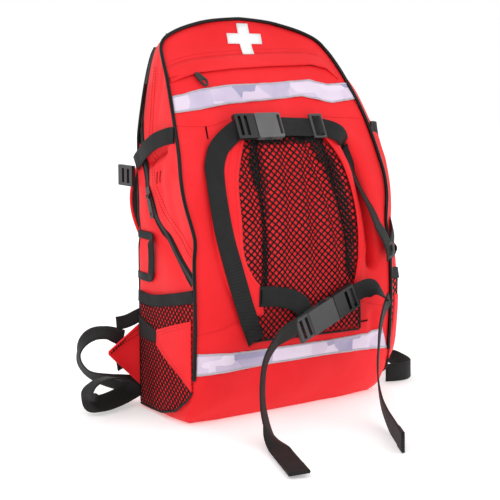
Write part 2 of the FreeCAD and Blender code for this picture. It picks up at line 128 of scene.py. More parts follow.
# ---- materials -----------------------------------------------------------------------
class Finish:
    """A procedural material: one Principled shader, with the nodes that feed it."""

    def __init__(self, name, roughness, **constants):
        self.material = bpy.data.materials.new(name)
        self.material.use_nodes = True
        self.tree = self.material.node_tree
        self.shader = self.tree.nodes["Principled BSDF"]
        self.shader.inputs["Roughness"].default_value = roughness
        for socket, value in constants.items():
            self.shader.inputs[socket.replace("_", " ")].default_value = value
        self.height = None

    def node(self, kind, settings=(), **inputs):
        made = self.tree.nodes.new(kind)
        for key, value in dict(settings).items():
            setattr(made, key, value)
        for socket, value in inputs.items():
            place = made.inputs[socket.replace("_", " ")]
            if isinstance(value, bpy.types.NodeSocket):
                self.tree.links.new(value, place)
            else:
                place.default_value = value
        return made

    def coordinates(self, kind, turn=0.0):
        """The mesh's UV or Object coordinates, turned in their plane."""
        source = self.node("ShaderNodeTexCoord")
        mapping = self.node("ShaderNodeMapping", Scale=(1, 1, 1), Rotation=(0, 0, turn),
                            Vector=source.outputs[kind])
        return mapping.outputs["Vector"]

    def noise(self, scale, detail=3.0):
        return self.node("ShaderNodeTexNoise", Scale=scale, Detail=detail,
                         Vector=self.coordinates("Object")).outputs["Fac"]

    def wave(self, pitch, axis, turn=0.0):
        """Ribs of a pitch in mm across the mesh's own u or v, which are in metres."""
        vector = self.coordinates("UV", turn)
        return self.node("ShaderNodeTexWave", {"bands_direction": axis},
                         Scale=1.0 / (pitch * MM) / RIBS_PER_UNIT, Vector=vector).outputs["Fac"]

    def math(self, kind, a, b):
        made = self.tree.nodes.new("ShaderNodeMath")
        made.operation = kind
        for place, value in zip(made.inputs, (a, b)):
            if isinstance(value, bpy.types.NodeSocket):
                self.tree.links.new(value, place)
            else:
                place.default_value = value
        return made.outputs[0]

    def mix(self, a, b, share):
        """A weighted sum of two factors, with this share of the second."""
        return self.math("ADD", self.math("MULTIPLY", a, 1.0 - share),
                         self.math("MULTIPLY", b, share))

    def colours(self, factor, stops):
        """Base colour from a factor through a ramp of (place, colour)."""
        ramp = self.tree.nodes.new("ShaderNodeValToRGB")
        first, last = ramp.color_ramp.elements[0], ramp.color_ramp.elements[1]
        first.position, first.color = stops[0][0], (*stops[0][1], 1.0)
        last.position, last.color = stops[-1][0], (*stops[-1][1], 1.0)
        for place, colour in stops[1:-1]:
            ramp.color_ramp.elements.new(place).color = (*colour, 1.0)
        self.tree.links.new(factor, ramp.inputs["Fac"])
        self.tree.links.new(ramp.outputs["Color"], self.shader.inputs["Base Color"])
        return self

    def bump(self, height, distance, strength=1.0):
        """Adds a layer of relief, distance in mm, on top of the ones before it."""
        made = self.node("ShaderNodeBump", Strength=strength, Distance=distance * MM,
                         Height=height)
        if self.height is not None:
            self.tree.links.new(self.height, made.inputs["Normal"])
        self.height = made.outputs["Normal"]
        self.tree.links.new(self.height, self.shader.inputs["Normal"])
        return self

    def rough(self, factor, low, high):
        ranged = self.node("ShaderNodeMapRange", Value=factor)
        ranged.inputs["To Min"].default_value = low
        ranged.inputs["To Max"].default_value = high
        self.tree.links.new(ranged.outputs["Result"], self.shader.inputs["Roughness"])
        return self


def coated_fabric(name, dark, middle, light):
    """Coated nylon: a fine plain weave, faint shade changes and soft crumples."""
    finish = Finish(name, 0.55, Specular_IOR_Level=0.16, Sheen_Weight=0.03)
    weave = finish.math("MULTIPLY", finish.wave(1.1, "X"), finish.wave(1.1, "Y"))
    finish.colours(finish.mix(finish.noise(9.0, 4.0), weave, 0.15),
                   [(0.25, dark), (0.5, middle), (0.75, light)])
    finish.rough(finish.noise(30.0), 0.48, 0.62)
    finish.bump(finish.noise(38.0, 2.0), 0.9, 0.5)
    return finish.bump(weave, 0.12, 0.7).material


def webbing(name, dark, light):
    """Ribbed polypropylene webbing with a slanted twill."""
    finish = Finish(name, 0.6, Specular_IOR_Level=0.2)
    ribs = finish.wave(1.7, "Y", math.radians(28.0))
    cross = finish.wave(1.3, "X")
    woven = finish.math("MULTIPLY", ribs, finish.math("ADD", cross, 0.5))
    finish.colours(finish.mix(woven, finish.noise(60.0), 0.4), [(0.15, dark), (0.85, light)])
    return finish.bump(woven, 0.35, 0.9).material


def moulded_plastic(name, colour, low, high):
    """Satin acetal with a fine spark-eroded grain."""
    finish = Finish(name, low, Specular_IOR_Level=0.5)
    grain = finish.noise(900.0, 2.0)
    finish.colours(finish.noise(45.0), [(0.3, tuple(0.8 * c for c in colour)), (0.7, colour)])
    finish.rough(finish.noise(70.0), low, high)
    return finish.bump(grain, 0.06, 0.5).material


def glossy_piping():
    finish = Finish("gloss_piping", 0.18, Specular_IOR_Level=0.18, Coat_Weight=0.06,
                    Coat_Roughness=0.1)
    finish.colours(finish.noise(40.0), [(0.3, (0.001, 0.001, 0.001)), (0.7, (0.004, 0.004, 0.004))])
    return finish.bump(finish.noise(120.0), 0.25, 0.5).material


def reflective_film():
    """Prismatic film: creased facets of grey and lilac under a clear face."""
    finish = Finish("reflective_tape", 0.35, Specular_IOR_Level=0.3)
    facets = finish.node("ShaderNodeTexVoronoi", {"feature": "F1", "distance": "CHEBYCHEV"},
                         Scale=26.0, Vector=finish.coordinates("Object"))
    tone = finish.node("ShaderNodeSeparateColor", Color=facets.outputs["Color"])
    finish.colours(finish.mix(tone.outputs[0], finish.noise(22.0), 0.35),
                   [(0.20, (0.36, 0.33, 0.50)), (0.36, (0.58, 0.50, 0.66)),
                    (0.5, (0.70, 0.58, 0.73)), (0.75, (0.80, 0.70, 0.83))])
    finish.bump(facets.outputs["Distance"], 1.6, 0.35)
    cells = finish.math("MULTIPLY", finish.wave(2.0, "X", 0.785), finish.wave(2.0, "Y", 0.785))
    return finish.bump(cells, 0.15, 0.5).material


def plain_cloth(name, dark, light, pitch, roughness=0.75):
    finish = Finish(name, roughness, Specular_IOR_Level=0.15)
    weave = finish.math("MULTIPLY", finish.wave(pitch, "X"), finish.wave(pitch, "Y"))
    finish.colours(finish.mix(weave, finish.noise(25.0), 0.6), [(0.2, dark), (0.8, light)])
    return finish.bump(weave, 0.25, 0.8).material


def ribbed_elastic():
    finish = Finish("black_elastic", 0.75, Specular_IOR_Level=0.15)
    ribs = finish.wave(1.6, "Y")
    finish.colours(finish.mix(ribs, finish.noise(50.0), 0.5),
                   [(0.2, (0.006, 0.006, 0.007)), (0.8, (0.035, 0.036, 0.038))])
    return finish.bump(ribs, 0.5, 0.9).material


def air_mesh():
    """Black spacer mesh: rows of small round pits."""
    finish = Finish("back_mesh", 0.8, Specular_IOR_Level=0.15)
    pits = finish.node("ShaderNodeTexVoronoi", {"feature": "F1"}, Scale=300.0, Randomness=0.15,
                       Vector=finish.coordinates("Object")).outputs["Distance"]
    finish.colours(pits, [(0.1, (0.003, 0.003, 0.003)), (0.6, (0.030, 0.030, 0.032))])
    return finish.bump(pits, 0.9, 0.9).material


def build_materials():
    red = coated_fabric("red_fabric", (0.76, 0.010, 0.014), (0.84, 0.017, 0.023),
                        (0.90, 0.032, 0.038))
    return {
        "red_fabric": red,
        "red_padding": coated_fabric("red_padding", (0.76, 0.015, 0.018), (0.85, 0.024, 0.028),
                                     (0.92, 0.04, 0.045)),
        "back_mesh": air_mesh(),
        "gloss_piping": glossy_piping(),
        "zip_tape": plain_cloth("zip_tape", (0.004, 0.004, 0.004), (0.014, 0.014, 0.015), 1.2),
        "zip_coil": moulded_plastic("zip_coil", (0.016, 0.016, 0.017), 0.35, 0.5),
        "zip_metal": moulded_plastic("zip_metal", (0.012, 0.012, 0.013), 0.22, 0.34),
        "reflective_tape": reflective_film(),
        "tape_edge": plain_cloth("tape_edge", (0.70, 0.66, 0.74), (0.84, 0.80, 0.87), 1.0, 0.6),
        "white_patch": plain_cloth("white_patch", (0.88, 0.88, 0.88), (0.98, 0.98, 0.98), 1.0, 0.6),
        "black_mesh": plain_cloth("black_mesh", (0.003, 0.003, 0.003), (0.016, 0.016, 0.017), 1.4),
        "black_elastic": ribbed_elastic(),
        "buckle_plastic": moulded_plastic("buckle_plastic", (0.055, 0.055, 0.057), 0.34, 0.48),
        # Lighter copy of the buckle plastic: a painted highlight, the sheen of the white surroundings
        # painted into the colour of the upper buckle's female half
        "highlit_plastic": moulded_plastic("highlit_plastic", (0.115, 0.115, 0.118), 0.34, 0.48),
        # Darker copy of the buckle plastic: painted shade on the ladder-locks, which lie turned away in
        # shadow; the buckles' male halves are given it too
        "dark_and_shaded_plastic": moulded_plastic("dark_and_shaded_plastic", (0.012, 0.012, 0.013), 0.34, 0.48),
        "stiff_sheet": moulded_plastic("stiff_sheet", (0.07, 0.07, 0.08), 0.5, 0.6),
        "lining": plain_cloth("lining", (0.07, 0.07, 0.08), (0.12, 0.12, 0.13), 1.0),
        "black_webbing": webbing("black_webbing", (0.004, 0.004, 0.004), (0.026, 0.026, 0.026)),
        "red_thread": plain_cloth("red_thread", (0.50, 0.010, 0.012), (0.66, 0.02, 0.024), 0.7),
        "black_thread": plain_cloth("black_thread", (0.004, 0.004, 0.004), (0.02, 0.02, 0.02), 0.7),
    }


# ---- making meshes -------------------------------------------------------------------
def add_piece(name, points, faces, finish, uvs=None, smooth=True):
    """A new mesh object from points in mm. uvs is one (u, v) in mm for each point."""
    mesh = bpy.data.meshes.new(name)
    mesh.from_pydata((np.asarray(points, float) * MM).tolist(), [], [tuple(f) for f in faces])
    if uvs is not None:
        layer = mesh.uv_layers.new(name="UVMap")
        index = np.zeros(len(mesh.loops), np.int32)
        mesh.loops.foreach_get("vertex_index", index)
        layer.data.foreach_set("uv", (np.asarray(uvs, float)[index] * MM).ravel())
    mesh.polygons.foreach_set("use_smooth", [smooth] * len(mesh.polygons))
    mesh.materials.append(MATERIALS[finish])
    made = bpy.data.objects.new(name, mesh)
    bpy.context.scene.collection.objects.link(made)
    return made


def once(side, node):
    """The node that both sides stand for, named with the left side only."""
    return [node] if side < 0 else []


def dress(piece, body, slot, *nodes):
    """Says what a piece rides on and hides the CAD nodes it stands for. slot is not used."""
    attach(piece, body)
    if nodes:
        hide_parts(*nodes)
    return piece


def apply_modifiers(piece):
    graph = bpy.context.evaluated_depsgraph_get()
    done = bpy.data.meshes.new_from_object(piece.evaluated_get(graph))
    piece.modifiers.clear()
    old = piece.data
    piece.data = done
    done.name = old.name
    bpy.data.meshes.remove(old)
    return piece


def modify(piece, kind, **settings):
    made = piece.modifiers.new(kind.lower(), kind)
    for key, value in settings.items():
        setattr(made, key, value)
    return apply_modifiers(piece)


def grid_faces(rows, columns, offset=0):
    return [(offset + r * columns + c, offset + r * columns + c + 1,
             offset + (r + 1) * columns + c + 1, offset + (r + 1) * columns + c)
            for r in range(rows - 1) for c in range(columns - 1)]


def lay(rows, columns, place):
    """A rows x columns array of points from place(u, v), with u and v from 0 to 1."""
    return np.array([[place(c / (columns - 1), r / (rows - 1)) for c in range(columns)]
                     for r in range(rows)], float)


def facing(vector, points):
    """One direction, repeated for every point."""
    return np.repeat(np.array([vector], float), len(points), 0)


def gathered(found):
    """Splits (point, direction) pairs into two arrays."""
    points, normals = zip(*found)
    return np.array(points), np.array(normals)


def sheet_piece(name, surface, thickness, finish, smooth_levels=0):
    """A closed sheet from a rows x columns array of points, thickened on both sides."""
    rows, columns = surface.shape[:2]
    u, v = travelled(surface[rows // 2]), travelled(surface[:, columns // 2])
    uvs = np.stack(np.meshgrid(u, v), axis=-1).reshape(-1, 2)
    piece = add_piece(name, surface.reshape(-1, 3), grid_faces(rows, columns), finish, uvs)
    modify(piece, "SOLIDIFY", thickness=thickness * MM, offset=0.0, use_even_offset=True)
    if smooth_levels:
        modify(piece, "SUBSURF", levels=smooth_levels, render_levels=smooth_levels)
    return piece


def spline(points):
    """Points in mm along the quadratic NURBS curve that has these control points."""
    curve = bpy.data.curves.new("route", "CURVE")
    curve.dimensions = "3D"
    line = curve.splines.new("NURBS")
    line.points.add(len(points) - 1)
    for target, point in zip(line.points, points):
        target.co = (*[c * MM for c in point], 1.0)
    line.order_u = 3
    line.use_endpoint_u = True
    line.resolution_u = 10
    holder = bpy.data.objects.new("route", curve)
    bpy.context.scene.collection.objects.link(holder)
    mesh = bpy.data.meshes.new_from_object(holder)
    found = np.array([v.co for v in mesh.vertices]) / MM
    bpy.data.objects.remove(holder)
    bpy.data.curves.remove(curve)
    bpy.data.meshes.remove(mesh)
    return found


def travelled(points):
    """Distance along a line at each of its points."""
    return np.r_[0, np.cumsum(np.linalg.norm(np.diff(points, axis=0), axis=1))]


def resample(points, count):
    """The same line, with this many points at equal distances."""
    points = np.asarray(points, float)
    along = travelled(points)
    wanted = np.linspace(0, along[-1], count)
    return np.stack([np.interp(wanted, along, points[:, k]) for k in range(points.shape[1])], 1)


def even(points, spacing):
    """The same line, with points about this far apart."""
    return resample(points, max(3, int(round(travelled(points)[-1] / spacing)) + 1))


def unit(v):
    v = np.asarray(v, float)
    return v / np.maximum(np.linalg.norm(v, axis=-1, keepdims=True), 1e-9)


def tangents(points):
    return unit(np.gradient(points, axis=0))


def sweep(name, points, normals, section, finish, closed=False):
    """A closed band: the section, as (across, out) in mm, carried along the points."""
    along = tangents(points)
    normals = unit(normals - (normals * along).sum(1, keepdims=True) * along)
    across = np.cross(along, normals)
    section = np.asarray(section, float)
    count, ring = len(points), len(section)
    body = (points[:, None] + section[None, :, :1] * across[:, None]
            + section[None, :, 1:] * normals[:, None])
    uvs = np.stack([np.tile(section[:, 0], count), np.repeat(travelled(points), ring)], 1)
    faces = []
    for r in range(count if closed else count - 1):
        s = (r + 1) % count
        for k in range(ring):
            m = (k + 1) % ring
            faces.append((r * ring + k, r * ring + m, s * ring + m, s * ring + k))
    if not closed:
        faces += [tuple(range(ring))[::-1], tuple((count - 1) * ring + k for k in range(ring))]
    return add_piece(name, body.reshape(-1, 3), faces, finish, uvs)


def strap_section(width, thickness):
    """Flat webbing with rounded selvedges."""
    w, t = width / 2, thickness / 2
    upper = [(-w, 0.35 * t), (-w + 0.7, t), (-w / 2, t), (0, t), (w / 2, t), (w - 0.7, t),
             (w, 0.35 * t)]
    return upper + [(-a, -b) for a, b in upper]


def round_section(radius, sides=10, flat=1.0):
    angles = [2 * math.pi * k / sides for k in range(sides)]
    return [(radius * math.cos(t), flat * radius * math.sin(t)) for t in angles]


def strap(name, points, normals, width, body, thickness=1.9, spacing=4.0, nodes=()):
    """Webbing along points, with its face along the normals."""
    both = even(np.hstack([points, normals]), spacing) if spacing else np.hstack([points, normals])
    piece = sweep(name, both[:, :3], both[:, 3:], strap_section(width, thickness), "black_webbing")
    return dress(piece, body, "black_webbing", *nodes)


def stitches(name, lines, finish, slot="black_webbing", length=2.6, gap=1.3, width=0.75,
             height=0.7):
    """Rows of thread: each stitch is a small arched bead. lines holds (points, normals)."""
    verts, faces, uvs = [], [], []
    for points, normals in lines:
        both = np.hstack([points, normals])
        fine = even(both, (length + gap) / 2)
        for k in range(0, len(fine) - 1, 2):
            a, b = fine[k, :3], fine[k + 1, :3]
            out = unit(fine[k, 3:])
            heading = unit(b - a)
            side = np.cross(heading, out) * width / 2
            centre = (a + b) / 2
            half = heading * length / 2
            base = len(verts)
            for t, rise in ((-1.0, 0.1), (-0.5, 0.85), (0.5, 0.85), (1.0, 0.1)):
                middle = centre + half * t
                squeeze = 0.55 if abs(t) > 0.9 else 1.0
                verts += [middle - side * squeeze - out * 0.3, middle + out * height * rise,
                          middle + side * squeeze - out * 0.3]
            for r in range(3):
                for c in range(3):
                    d = (c + 1) % 3
                    faces.append((base + 3 * r + c, base + 3 * r + d, base + 3 * r + 3 + d,
                                  base + 3 * r + 3 + c))
            faces += [(base + 2, base + 1, base), (base + 9, base + 10, base + 11)]
            uvs += [(0.0, 0.0)] * 12
    piece = add_piece(name, verts, faces, finish, uvs)
    return dress(piece, "root", slot)


def ripple(points, scale, seed):
    """Smooth noise from -1 to 1 at points in mm."""
    shift = Vector((seed * 13.7, seed * 7.1, seed * 3.3))
    return np.array([noise.noise(Vector(p) / scale + shift) for p in points])


def distance_to_line(a, b, line):
    """Distance in a plane from points (a, b) to a polyline."""
    best = np.full(np.shape(a), 1e9)
    for (p, q), (r, s) in zip(line, line[1:]):
        dx, dz = r - p, s - q
        if dx == 0 and dz == 0:
            continue
        t = np.clip(((a - p) * dx + (b - q) * dz) / (dx * dx + dz * dz), 0, 1)
        best = np.minimum(best, np.hypot(a - p - t * dx, b - q - t * dz))
    return best


def soften(piece, held, pressure, cap, grow=0.0):
    """Cloth simulation of a closed shape under pressure. held is one weight a point."""
    group = piece.vertex_groups.new(name="held")
    for value in sorted(set(np.round(held, 2))):
        if value > 0:
            chosen = np.nonzero(np.round(held, 2) == value)[0]
            group.add(chosen.tolist(), float(value), "REPLACE")
    before = np.array([v.co for v in piece.data.vertices])
    cloth = piece.modifiers.new("cloth", "CLOTH")
    settings = cloth.settings
    settings.quality = 6
    settings.mass = 0.3
    settings.tension_stiffness = CLOTH_STIFFNESS
    settings.compression_stiffness = CLOTH_STIFFNESS
    settings.shear_stiffness = CLOTH_STIFFNESS / 2
    settings.bending_stiffness = 0.6
    settings.use_pressure = True
    settings.uniform_pressure_force = pressure
    settings.shrink_min = grow
    settings.vertex_group_mass = "held"
    settings.effector_weights.gravity = 0.0
    cloth.collision_settings.use_collision = False
    cloth.point_cache.frame_end = CLOTH_FRAMES + 1
    scene = bpy.context.scene
    for step in range(1, CLOTH_FRAMES + 1):
        scene.frame_set(step)
    graph = bpy.context.evaluated_depsgraph_get()
    after = np.array([v.co for v in piece.evaluated_get(graph).data.vertices])
    scene.frame_set(1)
    piece.modifiers.clear()
    piece.vertex_groups.clear()
    moved = after - before
    size = np.linalg.norm(moved, axis=1, keepdims=True)
    limit = cap * MM
    moved *= limit * np.tanh(size / limit) / np.maximum(size, 1e-9)
    piece.data.vertices.foreach_set("co", (before + moved).ravel())
    piece.data.update()
    return piece


# ---- free webbing, with its exits, routes and lengths in mm --------------------------
WEB = 25.0
AWAY = np.array([0.83, -0.56, 0.0])     # across the line of sight, along the floor
TOWARDS = np.array([-0.56, -0.83, 0.1])
UPWARDS = np.array([0.0, 0.0, 1.0])
EXITS = {"left_tail": (-44, -147, 110), "right_tail": (121, -147, 138),
         "left_adjuster_loop": (-184, 57, 80), "left_adjuster_tail": (-175, 26, 12.7),
         "right_adjuster_loop": (184, 50, 78)}
ROUTES = {
    "left_tail": [(-24, -139, 117), (-50, -144, 112), (-66, -148, 100), (-79, -151, 85),
                  (-89, -160, 64), (-98, -173, 42), (-103, -187, 22), (-109, -207, 10),
                  (-119, -237, 6), (-130, -266, 6), (-139, -290, 6)],
    "right_tail": [(117, -146, 139), (108, -149, 131), (97, -152, 105), (86, -163, 77),
                   (72, -178, 53), (56, -204, 27), (42, -235, 12.8), (21, -271, 12.8),
                   (11, -289, 12.8)],
    "left_adjuster_loop": [(-158, 57, 83), (-170, 59, 89), (-184, 61, 94), (-202, 63, 93),
                           (-217, 64, 80), (-220, 64, 61), (-210, 62, 44), (-188, 59, 33),
                           (-164, 55, 26), (-138, 52, 20)],
    "left_adjuster_tail": [(-147, 33, 26), (-168, 29, 19), (-190, 25, 14), (-211, 20, 12.8),
                           (-228, 16, 18), (-234, 13, 31), (-225, 12, 43), (-206, 13, 47),
                           (-187, 16, 44), (-172, 20, 35)],
    "right_adjuster_loop": [(184, 48, 71), (206, 42, 51), (227, 26, 31), (243, 0, 18),
                            (247, -32, 13.5), (235, -60, 12.8), (209, -70, 12.8),
                            (187, -60, 12.8)],
}
# How the face of each strap turns along its route, from its exit to its end
FACES = {
    "left_tail": [AWAY, AWAY + 0.1 * TOWARDS, AWAY + 0.2 * TOWARDS, AWAY + 0.3 * TOWARDS,
                  0.8 * AWAY + 0.3 * TOWARDS + 0.3 * UPWARDS, 0.4 * TOWARDS + UPWARDS,
                  0.4 * TOWARDS + UPWARDS],
    "right_tail": [AWAY + 0.3 * TOWARDS, AWAY + 0.15 * TOWARDS, AWAY + 0.15 * TOWARDS,
                   AWAY + 0.25 * TOWARDS],
    "left_adjuster_loop": [(0.15, -0.8, 0.45), (-0.1, -0.5, 0.85), (-0.7, -0.25, 0.7),
                           (-1, 0.35, 0.1), (-0.6, -0.1, -0.8), (0, -0.7, -0.7), (0, -1, -0.2)],
    "left_adjuster_tail": [(-0.3, -0.8, 0.5), (-0.3, -0.7, 0.65), (-0.4, -0.6, 0.6),
                           (-0.95, -0.3, 0.1), (-0.5, 0.1, 0.85), (0, 0.15, 1), (0.2, 0.1, 1)],
    "right_adjuster_loop": [(0.5, -0.6, 0.6), (0.8, -0.3, 0.5), (1, 0, 0.1), (0.1, -1, 0),
                            (-0.9, -0.5, 0)],
}


def end_tab(name, points, normals):
    """The folded and stitched end of a strap, thicker than the rest."""
    heading = unit(points[-1] - points[-4])
    heading[2] = 0.0
    heading = unit(heading)
    steps = np.array([0.0, 2.0, 8.0, 14.0, 20.0, 25.0, 26.0])
    line = points[-1] + steps[:, None] * heading
    line[:, 2] = points[-1][2]
    piece = sweep(name, line, facing(unit(normals[-1]), line), strap_section(WEB - 0.4, 4.0),
                  "black_webbing")
    return dress(piece, "root", "black_webbing", name)


def build_cords():
    for name, route in ROUTES.items():
        path = spline(route)
        share = np.linspace(0, 1, len(path))
        faces = np.array(FACES[name], float)
        turns = np.linspace(0, 1, len(faces))
        normals = np.stack([np.interp(share, turns, faces[:, k]) for k in range(3)], 1)
        piece = sweep(name, path, normals, strap_section(WEB, 1.9), "black_webbing")
        dress(piece, "root", "black_webbing", name)
        ends = []
        if name.endswith("_tail") and name + "_tab" in frame["nodes"]:
            ends = [end_tab(name + "_tab", path, normals)]
        [c * MM for c in EXITS[name]]


# ---- the body of the bag -------------------------------------------------------------
def circle_through(p, q, r):
    ax, ay = q[0] - p[0], q[1] - p[1]
    bx, by = r[0] - p[0], r[1] - p[1]
    d = 2 * (ax * by - ay * bx)
    ux = (by * (ax * ax + ay * ay) - ay * (bx * bx + by * by)) / d
    uy = (ax * (bx * bx + by * by) - bx * (ax * ax + ay * ay)) / d
    return p[0] + ux, p[1] + uy, math.hypot(ux, uy)


FRONT_ARCS = [((-78, 0), (-98, 28), (-106, 70)), ((-106, 70), (-109, 140), (-104, 215)),
              ((-104, 215), (-66, 345), (8, 455))]
HALF_WIDTH = -node_box("gusset_left")[0][0]
BACK_Y = node_box("back_panel")[1][1]
REAR_RADIUS = 30.0


def front_y(z):
    """How far forward the front panel's seam lies at each height."""
    z = np.maximum(np.asarray(z, float), 0.0)
    out = np.interp(z, [455.0, 484.0, 500.0], [8.0, 24.0, 28.0])
    for low, middle, high in FRONT_ARCS:
        cy, cz, r = circle_through(low, middle, high)
        inside = (z >= low[1]) & (z <= high[1])
        out = np.where(inside, cy - np.sqrt(np.maximum(r * r - (z - cz) ** 2, 0)), out)
    return out


def rear_y(z):
    return np.interp(z, [0, 340, 370, 400, 500], [46, 46, 45, 42, 42])


def arc_points(a, b, c):
    """An arc of 24 points from a through b to c."""
    cx, cy, r = circle_through(a, b, c)
    angles = np.unwrap([math.atan2(p[1] - cy, p[0] - cx) for p in (a, b, c)])
    turn = np.linspace(angles[0], angles[2], 24)
    return np.stack([cx + r * np.cos(turn), cy + r * np.sin(turn)], 1)


def outline():
    """Right half of the front outline, as (x, z), from the base to the top."""
    low = arc_points((140, 0), (147.5, 4), (150, 16))
    side = [(150, 16), (150, 120), (150, 200), (145, 226), (148, 242), (154, 270), (154, 295),
            (150, 328), (147, 356), (142, 386), (137, 412), (132, 436), (128, 452), (118, 466),
            (96, 476), (68, 484), (37, 490), (0, 492)]
    upper = spline([(x, 0, z) for x, z in side])[:, (0, 2)]
    return even(np.vstack([low, upper[1:]]), 3.0)


OUTLINE = outline()


def coons(bottom, right, top, left):
    """Fills four edges, each an array of points, with a grid."""
    u = np.linspace(0, 1, len(bottom))[None, :, None]
    v = np.linspace(0, 1, len(right))[:, None, None]
    across = (1 - u) * left[:, None] + u * right[:, None]
    upright = (1 - v) * bottom[None] + v * top[None]
    corners = ((1 - u) * (1 - v) * bottom[0] + u * (1 - v) * bottom[-1]
               + (1 - u) * v * top[0] + u * v * top[-1])
    return across + upright - corners


ACROSS = 79         # points across the front panel
UP = 117            # points up it
AROUND = 27         # points from the front seam round to the back panel
SHOULDER = (118.0, 465.0)       # where the side edge turns into the top edge


def shell_grids():
    """Front panel, gusset strip and back panel as point arrays that share their edges."""
    split = int(np.argmin(np.hypot(*(OUTLINE - SHOULDER).T)))
    side = resample(OUTLINE[:split + 1], UP)
    top_half = OUTLINE[split:]
    top = resample(np.vstack([top_half, (top_half * (-1, 1))[::-1][1:]])[::-1], ACROSS)
    bottom = np.stack([np.linspace(-132, 132, ACROSS), np.zeros(ACROSS)], 1)
    flat = coons(bottom, side, top, side * (-1, 1))
    front = np.stack([flat[..., 0], front_y(flat[..., 1]), flat[..., 1]], -1)

    strip = np.array([gusset_line(x, z) for x, z in loop_of(flat)])
    ends = strip[:, -1]
    m, n = ACROSS - 1, UP - 1
    back = coons(ends[:m + 1], ends[m:m + n + 1], ends[m + n:2 * m + n + 1][::-1],
                 np.vstack([ends[2 * m + n:], ends[:1]])[::-1])
    return front, strip, back


def gusset_line(x, z):
    """From a point of the front seam straight back, and round the rear edge."""
    side = math.copysign(1.0, x)
    reach = abs(x)
    last_y = float(rear_y(z))
    inner = HALF_WIDTH - REAR_RADIUS
    start = float(front_y(z))
    if reach <= inner:
        plan = np.array([(reach, start), (reach, last_y)])
    else:
        turn = math.acos(min(1.0, (reach - inner) / REAR_RADIUS))
        angles = np.linspace(turn, math.pi / 2, 12)
        plan = np.vstack([[(reach, start)],
                          np.stack([inner + REAR_RADIUS * np.cos(angles),
                                    BACK_Y - REAR_RADIUS + REAR_RADIUS * np.sin(angles)], 1)])
        plan[:, 1] = np.minimum(plan[:, 1], last_y + 0.01 * np.arange(len(plan)))
    plan = resample(plan, AROUND)
    taper = np.interp(z, [320, 400, 450, 480, 492], [0, 8, 14, 14, 0])
    plan[:, 0] -= np.linspace(0, 1, AROUND) * taper * (reach > 60)
    height = np.linspace(z, min(z, 488.0), AROUND)
    arch = 1.6 * np.sin(np.linspace(0, math.pi, AROUND)) * (z > 480.0)
    return np.stack([side * plan[:, 0], plan[:, 1], height + arch], 1)


# Creases of the front panel as (x, z) lines, with depth and half-width. A negative
# depth stands proud.
FOLD = [(96, 332), (104, 300), (108, 262), (113, 222), (117, 182)]
CREASES = [
    (FOLD, 28.0, 6.2),
    ([(84, 345), (94, 322), (97, 285), (101, 240), (105, 200)], -3.0, 7.0),
    ([(122, 330), (128, 285), (133, 240), (136, 200)], -2.5, 10.0),
    ([(-146, 359), (-119, 357), (-93, 357), (-72, 364)], 0.9, 1.6),
    ([(72, 366), (110, 363), (138, 362)], 0.9, 1.6),
    ([(-149, 113), (-130, 114), (-108, 118), (-86, 127)], 1.2, 2.2),
    ([(94, 129), (116, 123), (146, 116)], 1.2, 2.2),
    ([(-106, 350), (-104, 332), (-112, 312)], 3.0, 12.0),
    ([(118, 112), (120, 92), (121, 70)], 2.6, 5.0),
    ([(108, 112), (109, 92), (110, 74)], -1.6, 5.0),
    ([(131, 110), (132, 90), (132, 74)], -1.6, 5.0),
]
POCKET_EDGE = [(-133, 411), (-112, 417), (-91, 422), (-40, 427), (20, 430), (87, 432), (110, 427),
               (124, 414)]


def sculpt_front(front):
    """Crowns the panel between its seams and presses the creases into it."""
    x, z = front[..., 0], front[..., 2]
    edge = distance_to_line(np.abs(x), z, OUTLINE.tolist())
    lift = 3.2 * (1 - np.exp(-edge / 26.0)) - 1.4 * np.exp(-(edge / 5.0) ** 2)
    for line, depth, width in CREASES:
        lift -= depth * np.exp(-(distance_to_line(x, z, line) / width) ** 2)
    flat = front.reshape(-1, 3)
    shape = x.shape
    lift += 1.0 * ripple(flat, 46.0, 1).reshape(shape) * np.clip(edge / 12.0, 0, 1)
    lift += 0.55 * ripple(flat * (1, 1, 0.5), 17.0, 2).reshape(shape) * np.exp(-edge / 30.0)
    slack = np.exp(-((z - 30.0) / 26.0) ** 2)
    lift += slack * (1.6 + 1.4 * ripple(flat, 30.0, 3).reshape(shape)) * np.clip(edge / 20.0, 0, 1)
    lift = np.where(z < 1.0, 0.0, lift) * np.clip((492.0 - z) / 6.0, 0, 1)
    slope = np.gradient(front_y(np.linspace(0, 500, 501)))
    fall = np.interp(z, np.arange(501), slope)
    size = np.sqrt(1 + fall * fall)
    normal = np.stack([np.zeros_like(fall), -1 / size, fall / size], -1)
    return front + normal * lift[..., None]


ZIP_LINE = [(40, 520), (40, 430), (30, 364), (14, 330), (-22, 240), (-104, 179)]
RIGHT_BULGE = 24.0      # the right wall is pushed out by what it holds
BULGE_AT = ([0, 20, 70, 150, 300, 346, 362, 400, 440, 466],
            [0, 0.4, 1.0, 1.1, 1.0, 0.9, 0.8, 0.8, 0.6, 0.1])
GUSSET_CREASES = [
    ([(-40, 332), (-26, 327), (-8, 316)], 11.0, 6.0),
    ([(-64, 338), (-30, 336), (2, 320)], -2.0, 9.0),
    ([(-58, 306), (-40, 296), (-8, 286)], -2.2, 9.0),
    ([(-40, 310), (-42, 270), (-46, 240)], 1.4, 5.0),
    ([(-60, 300), (-66, 262), (-76, 226)], 1.2, 5.0),
    ([(-6, 460), (-14, 410), (-16, 370)], 1.2, 4.0),
    ([(4, 440), (-2, 400), (-2, 365)], 1.0, 4.0),
]


